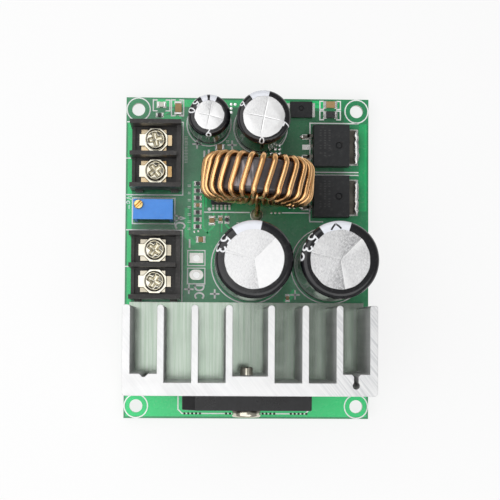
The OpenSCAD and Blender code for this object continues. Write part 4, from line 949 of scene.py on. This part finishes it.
def sleeveSkin(low, high, seed):      # gives a point from an angle and a length down the sleeve's profile
    centre, radius = (low + high) / 2, (high.x - low.x) / 2
    shoulder = sleeveValues["shoulder"]
    flat = radius - shoulder
    bend = shoulder * math.pi / 2

    def skin(angle, along, lift):
        turn = math.radians(angle)
        wave = noise.noise(Vector((math.cos(turn) * 2.2, math.sin(turn) * 2.2, along * 0.22 + seed)))
        lift = lift - sleeveValues["wrinkle"] * (0.5 + 0.5 * wave) - 0.02
        if along < 0:
            away, z = flat + along, high.z + lift
        elif along < bend:
            part = along / shoulder
            away = flat + (shoulder + lift) * math.sin(part)
            z = high.z - shoulder + (shoulder + lift) * math.cos(part)
        else:
            z = high.z - shoulder - (along - bend)
            dip = max(0.0, 1 - ((z - low.z - sleeveValues["crimpAt"]) / 0.8) ** 2)
            away = radius + lift - sleeveValues["crimpDeep"] * math.sqrt(dip)
        return Vector((centre.x + away * math.cos(turn), centre.y + away * math.sin(turn), z))
    return skin, flat, bend


def makeSleeve(which):
    fold, stripe, wedge, marks = sleeveValues["cans"][which]
    node = which + "_capacitor_sleeve"
    low, high = boxOf(node)
    seed, sides, inkSpan = sleeveValues["seeds"][which], sleeveValues["sides"], sleeveValues["inkSpan"]
    skin, flat, bend = sleeveSkin(low, high, seed)
    radius = (high.x - low.x) / 2
    shoulder = sleeveValues["shoulder"]
    inner = -(flat - (radius - fold))
    foot = bend + (high.z - shoulder - low.z)
    crimp = foot - sleeveValues["crimpAt"]
    stations = ([inner * (1 - i / 4) for i in range(4)] + [bend * i / 7 for i in range(7)]
                + [bend + (crimp - 1.2 - bend) * i / 10 for i in range(10)]
                + [crimp - 1.0 + 2.0 * i / 10 for i in range(11)] + [foot])
    bm = bmesh.new()
    shells = []
    for lift in (0.0, -sleeveValues["skin"]):
        shell = []
        for index, along in enumerate(stations):
            row = []
            for i in range(sides):
                angle = 360 * i / sides
                turn = math.radians(angle)
                ragged = 0.12 * noise.noise(Vector((math.cos(turn) * 3, math.sin(turn) * 3, seed + 5)))
                row.append(bm.verts.new(skin(angle, along + (ragged if index == 0 else 0), lift) * mm))
            shell.append(row)
        shells.append(shell)
    joinRows(bm, shells[0] + shells[1][::-1], closed=True)
    middle = (low + high) / 2
    piece = addPiece(which + "_sleeve_shrunk", bm, stripedSleeve(which, middle, stripe, wedge),
                     smoothAngle=60)
    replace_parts(piece, node)

    def placeOn(angle0, along0, away):      # a mark's own flat frame, laid on the skin
        return lambda x, y, z: skin(angle0 + math.degrees(x / away), along0 - y, z) * mm
    bm = bmesh.new()
    tall = fold * 1.1
    for text, angle, down in marks:
        writeMarks(bm, text, -tall * 0.3, 0, tall, 0, tall * 0.17, *inkSpan,
                   placeOn(angle, inner + down + tall, radius - fold / 2))
    addPiece(which + "_sleeve_marks", bm, canInk)
    bm = bmesh.new()
    middleAngle = (stripe[0] + stripe[1]) / 2
    count = int((foot - bend) / 5)
    for i in range(count):      # dark signs down the stripe
        writeMarks(bm, "-", -0.9, 0, 3.0, 0, 0.7, *inkSpan,
                   placeOn(middleAngle, bend + 5.4 + i * 4.6, radius))
    if which == "right":
        strokePath(bm, list(sleeveValues["chevron"]), 0.42, *inkSpan,
                   place=placeOn(98, inner + 0.75, radius - fold / 2))
    addPiece(which + "_stripe_signs", bm, canDark)


for which in sleeveValues["cans"]:
    makeSleeve(which)


rubberFinish = madeOf("moulded rubber", (0.02, 0.02, 0.021), (0.035, 0.035, 0.035), rough=0.7)


def scoreCan(which, finish):      # a can with straight shallow scores outwards from its centre
    node = which + "_capacitor_can"
    low, high = boxOf(node)
    centre, radius = (low + high) / 2, (high.x - low.x) / 2
    wide, deep, tip = canValues["scoreWide"] / 2, canValues["scoreDeep"], canValues["scoreTip"]
    long = radius - sleeveValues["cans"][which][0] - 0.5
    arms, fan = canValues["scores"][which], canValues["fan"]
    bm = bmesh.new()

    def at(angle, along, aside=0.0, down=0.0):
        turn = math.radians(angle)
        return bm.verts.new(Vector((centre.x + along * math.cos(turn) - aside * math.sin(turn),
                                    centre.y + along * math.sin(turn) + aside * math.cos(turn),
                                    high.z - down)) * mm)
    count = len(arms)
    gaps = [(arms[(i + 1) % count] - arms[i]) % 360 for i in range(count)]
    hub = at(0, 0, 0, deep)
    corners = [at(arm + gap / 2, wide / math.sin(math.radians(gap / 2))) for arm, gap in zip(arms, gaps)]
    beds = [at(arm, long - tip, 0, deep) for arm in arms]
    ends, lefts, rights = ([at(arm, *spot) for arm in arms]
                           for spot in ((long,), (long - tip, wide), (long - tip, -wide)))
    turns = [arm + gap * k / fan for arm, gap in zip(arms, gaps) for k in range(fan)]
    crimpZ = boxOf(which + "_capacitor_sleeve")[0].z + sleeveValues["crimpAt"]
    bend = sleeveValues["shoulder"]
    radius -= 0.1      # clear of the sleeve's skin
    rings = []
    for away, z in ([(radius - bend + bend * math.sin(math.radians(a)),
                      high.z - bend + bend * math.cos(math.radians(a))) for a in range(0, 91, 15)]
                    + [(radius - sleeveValues["crimpDeep"] * math.sqrt(max(0.0, 1 - (k / 4) ** 2)),
                        crimpZ - 0.2 * k) for k in range(-4, 5)] + [(radius, low.z)]):
        rings.append([at(turn, away, 0, high.z - z) for turn in turns])
    for i in range(count):
        after = (i + 1) % count
        bm.faces.new((hub, beds[i], lefts[i], corners[i]))
        bm.faces.new((hub, corners[i - 1], rights[i], beds[i]))
        bm.faces.new((beds[i], ends[i], lefts[i]))
        bm.faces.new((beds[i], rights[i], ends[i]))
        rim = [rings[0][(fan * i + k) % len(turns)] for k in range(fan + 1)]
        bm.faces.new([corners[i], lefts[i], ends[i]] + rim + [ends[after], rights[after]])
    joinRows(bm, rings)
    bm.faces.new(rings[-1])
    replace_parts(addPiece(which + "_can_scored", bm, finish, smoothAngle=8), node)


for which, centre in (("left", largeLeft), ("right", largeRight), ("medium", mediumCan), ("small", smallCan)):
    topFinish = paintedShadeTop(which, centre, canValues["paintedShades"][which])
    if which in canValues["scores"]:
        scoreCan(which, topFinish)
    else:
        dress(which + "_capacitor_can", topFinish)
    dress(which + "_capacitor_seal", rubberFinish)
dress("capacitor_leads", tinnedFinish)
print("capacitors done")


# Choke

chokeValues = {
    "yaw": -4.5, "innerDiameter": 14.0, "thick": 8.0, "edge": 1.0, "tails": (-7.40, 6.21),
    "wire": 1.32, "turns": 27, "turnAngle": 13.0, "tailAngle": 4.0, "outerLean": 0.62,
    "looseness": 1.6, "bow": 0.2, "slack": 2.1, "sweep": (0, 0, 0.8, 1.9), "cornerSteps": 8,
    "sides": 18,
    "copper": (0.93, 0.55, 0.25), "copperShade": (0.82, 0.44, 0.17), "core": (0.035, 0.031, 0.036),
    "flux": (0.52, 0.45, 0.32),
}


def wireRoute():      # the middle line of the wire, in the choke's own frame, with its shares of a lap
    low, high = boxOf("choke_core")
    span = high.z - low.z
    gap = chokeValues["wire"] / 2 + 0.05
    outer, inner = span / 2 + gap, chokeValues["innerDiameter"] / 2 - gap
    half = chokeValues["thick"] / 2 + gap
    corner = gap + chokeValues["edge"]
    lean, first = chokeValues["outerLean"], 0.10
    second = first + (1 - lean - first) / 2
    shares = [0.0, first, second, second + lean, 1.0]      # where each side of a lap begins
    draw = random.Random(23)
    path = []

    def at(angle, radius, y):
        return Vector((radius * math.sin(math.radians(angle)), y, -radius * math.cos(math.radians(angle))))
    steps = chokeValues["cornerSteps"]
    pushes = ((-0.275, -0.5), (0.0, 0.0), (0.2, 0.1), (-0.5, -0.275))      # where the slack goes
    swing = 0.0
    for lap in range(chokeValues["turns"] + 1):
        swing, before = chokeValues["looseness"] * (draw.random() - 0.5), swing
        corners = 4 if lap < chokeValues["turns"] else 2
        bulge = chokeValues["bow"] * draw.random()
        around = chokeValues["tailAngle"] + chokeValues["turnAngle"] * (lap + 0.5)
        flank = abs(math.sin(math.radians(around))) ** 2      # slack on the turns at the two ends
        flank *= min(1.0, max(0.0, 0.6 - math.cos(math.radians(around))))
        slack = chokeValues["slack"] * flank
        bends = [corner + flank * sweep for sweep in chokeValues["sweep"]]      # wider on slack turns
        for index in range(corners):
            middle = inner + bends[index] if index < 2 else outer - bends[index]
            side = -1 if index in (0, 3) else 1
            start, end = shares[index], shares[index + 1]
            own = (end - start) * 0.25
            for step in range(steps + 1):
                share = start + own * step / steps
                bend = math.radians(270 - 90 * index - 90 * step / steps)
                loose = before + (swing - before) * min(1.0, share * 2)
                angle = chokeValues["tailAngle"] + chokeValues["turnAngle"] * (lap + share) + loose
                push, lastPush = pushes[index]
                path.append(at(angle, middle + bends[index] * math.cos(bend),
                               side * (half - bends[index]) + bends[index] * math.sin(bend)
                               + slack * (push + (lastPush - push) * step / steps)))
            if index == corners - 1 and corners == 2:
                break
            after = shares[index + 1]
            follow = (index + 1) % 4
            nextMiddle = inner + bends[follow] if follow < 2 else outer - bends[follow]
            nextSide = -1 if follow in (0, 3) else 1
            for step in (1, 2, 3):      # the straight to the next corner, bowed a little
                part = step / 4
                share = start + own + (after - start - own) * part
                angle = chokeValues["tailAngle"] + chokeValues["turnAngle"] * (lap + share)
                angle += before + (swing - before) * min(1.0, share * 2)
                bow = math.sin(math.pi * part) * bulge
                if index in (0, 2):
                    radius = inner if index == 0 else outer + bow
                    near, far = side * (half - bends[index]), nextSide * (half - bends[follow])
                    y = near + (far - near) * part
                else:
                    radius = middle + (nextMiddle - middle) * part
                    y = side * (half + bow * 0.6)
                    y += slack * (-0.275 - 0.35 * math.sin(math.pi * part) if index == 3 else 0.2 * part)
                path.append(at(angle, radius, y))
    offset = outer * math.sin(math.radians(chokeValues["tailAngle"]))
    return path, offset, outer, half


def windChoke():
    core = middleOf("choke_core")
    path, offset, outer, half = wireRoute()
    floor = boxOf("choke_winding")[0].z - core.z

    def tail(y, face):
        bendZ = boardTop + 2 - core.z
        return [Vector((offset, y, floor)), Vector((offset, y, bendZ - 1)), Vector((offset, y, bendZ)),
                Vector((offset, y * 0.85 + face * 0.15, bendZ + 1)),
                Vector((offset, y * 0.3 + face * 0.7, bendZ + 2.6)), Vector((offset, face, -outer + 3.9))]
    yaw = math.radians(chokeValues["yaw"])
    radius = chokeValues["wire"] / 2

    def turned(p):
        return Vector((core.x + p.x * math.cos(yaw) - p.y * math.sin(yaw),
                       core.y + p.x * math.sin(yaw) + p.y * math.cos(yaw), core.z + p.z))
    frontY, backY = chokeValues["tails"]
    route = [turned(p) for p in tail(frontY, -half) + path + tail(backY, half)[::-1]]
    bm = bmesh.new()
    rows, side = [], Vector((1, 0, 0))
    for i, point in enumerate(route):
        run = (route[min(i + 1, len(route) - 1)] - route[max(i - 1, 0)]).normalized()
        side = (side - run * side.dot(run)).normalized()
        up = run.cross(side)
        rows.append([bm.verts.new((point + (side * math.cos(a) + up * math.sin(a)) * radius) * mm)
                     for a in roundAngles(chokeValues["sides"])])
    joinRows(bm, rows)
    bm.faces.new(rows[0][::-1])
    bm.faces.new(rows[-1])
    wire = addPiece("wound_wire", bm, enamelFinish, smoothAngle=80)
    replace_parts(wire, "choke_winding")
    bm = bmesh.new()
    disc(bm, route[0].x, route[0].y, 1.5, boardTop - 0.02, boardTop + 0.15, 28, 1.7)
    addPiece("choke_solder", bm, fluxFinish)


enamelFinish = madeOf("enamelled copper", chokeValues["copper"], chokeValues["copperShade"],
                      metallic=1.0, rough=0.27, spread=0.03, scale=900, height=0.000003, bump=0.1,
                      coat=0.25, coatRough=0.2)
fluxFinish = madeOf("solder under flux", chokeValues["flux"], (0.30, 0.25, 0.17), 0.7, metallic=0.15,
                    scale=1800, height=0.00004, bump=0.6, coat=0.4, coatRough=0.25)


def paintedCoreReflection(tree, base):      # a painted reflection of the light on the core, as pale streaks left of its middle
    streaks = useGroup(tree, grain, {"Stretch": (1, 0.2, 1), "Scale": 3200})["Value"]
    mask = useGroup(tree, region, {"Middle": (middleOf("choke_core") + Vector((-3.6, 0.3, 0))) * mm,
                                   "Half Size": (0.0023, 0.0030, 1)})["Mask"]
    return blendColours(tree, calc(tree, "MULTIPLY", mask, ramp(tree, streaks, 0.3, 0.8, 0.0, 0.75)),
                        base, rgba((0.46, 0.41, 0.43)))


coreFinish = madeOf("core coating", chokeValues["core"], (0.07, 0.062, 0.07), 0.6, rough=0.36,
                    spread=0.10, scale=1300, height=0.00006, bump=0.5, worn=(0.16, 0.14, 0.15),
                    wear=0.5, reach=0.0004, dusty=0.1, coat=0.3, coatRough=0.3, paint=paintedCoreReflection)
windChoke()
softened("choke_core", coreFinish, 0.25, 2, 40)
print("choke done")


# Surface-mounted parts

ceramicFinish = madeOf("ceramic", (0.47, 0.30, 0.13), (0.38, 0.23, 0.09), 0.6, rough=0.45, scale=5000)
glazeFinish = madeOf("resistor glaze", (0.020, 0.020, 0.022), (0.05, 0.05, 0.05), 0.6, rough=0.3,
                     scale=5000)
ledFinish = madeOf("lamp resin", (0.82, 0.83, 0.76), (0.75, 0.74, 0.60), 0.6, rough=0.25, scale=3000,
                   coat=0.4)
# the lead frame is coloured dark, a painted shade for the shadow it lies in
shadedFrameFinish = madeOf("lead frame", (0.14, 0.132, 0.112), (0.06, 0.056, 0.047), 0.8, metallic=1.0,
                     rough=0.34, scale=1200, height=0.00003, worn=(0.8, 0.8, 0.78), wear=0.5)
for which, case in (("upper", upperCase), ("lower", lowerCase)):
    pin = Vector((case[0].x + 6.4, (case[0].y + case[1].y) / 2, 0)) * mm
    softened(which + "_mosfet_case", mouldedIn(which + " transistor case", [(pin, 0.0009, 0.0003)]), 0.14)
    softened(which + "_mosfet_frame", shadedFrameFinish, 0.08)


def markCases():      # faint rows of ticks where each case is marked
    bm = bmesh.new()
    draw = random.Random(5)
    for case in (upperCase, lowerCase):
        for column in range(3):
            for row in range(11):
                x, y = case[0].x + 1.6 + column * 1.1, case[1].y - 1.6 - row * 0.62
                if draw.random() < 0.8:
                    plate(bm, x, y, x + 0.5, y + 0.3, case[1].z - 0.02, case[1].z + 0.006)
    addPiece("case_marks", bm, markFinish)


markFinish = madeOf("laser marking", (0.045, 0.045, 0.046), (0.03, 0.03, 0.03), 0.6, rough=0.6)
markCases()
diodePin = middleOf("diode_case") * mm
softened("diode_case", mouldedIn("diode case", [(Vector((diodePin.x, diodePin.y + 0.0003, 0)), 0.0007,
                                                 0.0003)]), 0.10)
for node, finish, width in (
        ("diode_terminals", tinnedFinish, 0.04), ("controller_case", epoxyFinish, 0.08),
        ("controller_leads", tinnedFinish, 0.03), ("chip_capacitors", ceramicFinish, 0.06),
        ("chip_resistors", glazeFinish, 0.05), ("chip_ends", solderFinish, 0.08),
        ("indicator_led", ledFinish, 0.08)):
    softened(node, finish, width)
print("small parts done")


# Floor, lights and camera

stageValues = {
    "floor": (0.93, 0.93, 0.93), "floorKeep": 0.8, "world": 0.34,
    "panels": {      # place, what it looks at, size, and how bright it looks
        "left panel": ((-0.285, 0.0, 0.45), (-0.285, 0.0, 0.0), (0.60, 0.80), 1.5),
        "front panel": ((0.15, -0.29, 0.45), (0.15, -0.29, 0.0), (0.30, 0.46), 1.7)},
}
cameraValues = {"lens": 108.0, "sensor": 36.0, "place": (-0.011461, -0.018275, 0.370831),
                "turn": (0.05454, -0.03298, 0.00751), "near": 0.01, "far": 20.0}


def makeFloor():
    bm = bmesh.new()
    bmesh.ops.create_grid(bm, x_segments=1, y_segments=1, size=2.5)
    mesh = bpy.data.meshes.new("floor")
    bm.to_mesh(mesh)
    bm.free()
    floor = bpy.data.objects.new("floor", mesh)
    floor.location.z = cadBox[0][2] - 0.0002
    scene.collection.objects.link(floor)
    finish = bpy.data.materials.new("floor paper")
    finish.use_nodes = True
    tree = finish.node_tree
    tree.nodes.clear()
    ray = addNode(tree, "ShaderNodeLightPath").outputs
    seen = calc(tree, "MAXIMUM", ray["Is Camera Ray"], calc(tree, "MAXIMUM", ray["Is Glossy Ray"],
                                                            ray["Is Transmission Ray"]))
    paper = addNode(tree, "ShaderNodeBsdfDiffuse", {"Color": rgba(stageValues["floor"])})
    glow = addNode(tree, "ShaderNodeEmission", {"Color": (1, 1, 1, 1), "Strength": 1.0})
    mixed = addNode(tree, "ShaderNodeMixShader", {
        0: calc(tree, "MULTIPLY", seen, stageValues["floorKeep"]), 1: paper.outputs[0], 2: glow.outputs[0]})
    addNode(tree, "ShaderNodeOutputMaterial", {"Surface": mixed.outputs[0]})
    mesh.materials.append(finish)


def makeWorld():      # plain white all round, a little stronger for what looks at it directly
    world = bpy.data.worlds.new("studio")
    scene.world = world
    world.use_nodes = True
    tree = world.node_tree
    tree.nodes.clear()
    ray = addNode(tree, "ShaderNodeLightPath").outputs["Is Camera Ray"]
    strength = ramp(tree, ray, 0.0, 1.0, stageValues["world"], 1.0)
    glow = addNode(tree, "ShaderNodeBackground", {"Color": (1, 1, 1, 1), "Strength": strength})
    addNode(tree, "ShaderNodeOutputWorld", {"Surface": glow.outputs[0]})


def addPanel(name, place, target, size, glow):
    lamp = bpy.data.lights.new(name, "AREA")
    lamp.shape = "RECTANGLE"
    lamp.size, lamp.size_y = size
    lamp.energy = glow * math.pi * size[0] * size[1]
    holder = bpy.data.objects.new(name, lamp)
    holder.location = place
    holder.rotation_euler = (Vector(target) - Vector(place)).to_track_quat("-Z", "Y").to_euler()
    holder.visible_camera = False
    scene.collection.objects.link(holder)


def makeCamera():
    lens = bpy.data.cameras.new("camera")
    lens.lens, lens.sensor_width = cameraValues["lens"], cameraValues["sensor"]
    lens.clip_start, lens.clip_end = cameraValues["near"], cameraValues["far"]
    camera = bpy.data.objects.new("camera", lens)
    camera.location = cameraValues["place"]
    camera.rotation_mode = "ZYX"
    camera.rotation_euler = cameraValues["turn"]
    scene.collection.objects.link(camera)
    scene.camera = camera


makeFloor()
makeWorld()
for title, panel in stageValues["panels"].items():
    addPanel(title, *panel)
makeCamera()
scene.view_settings.view_transform = "Standard"
print("stage done")
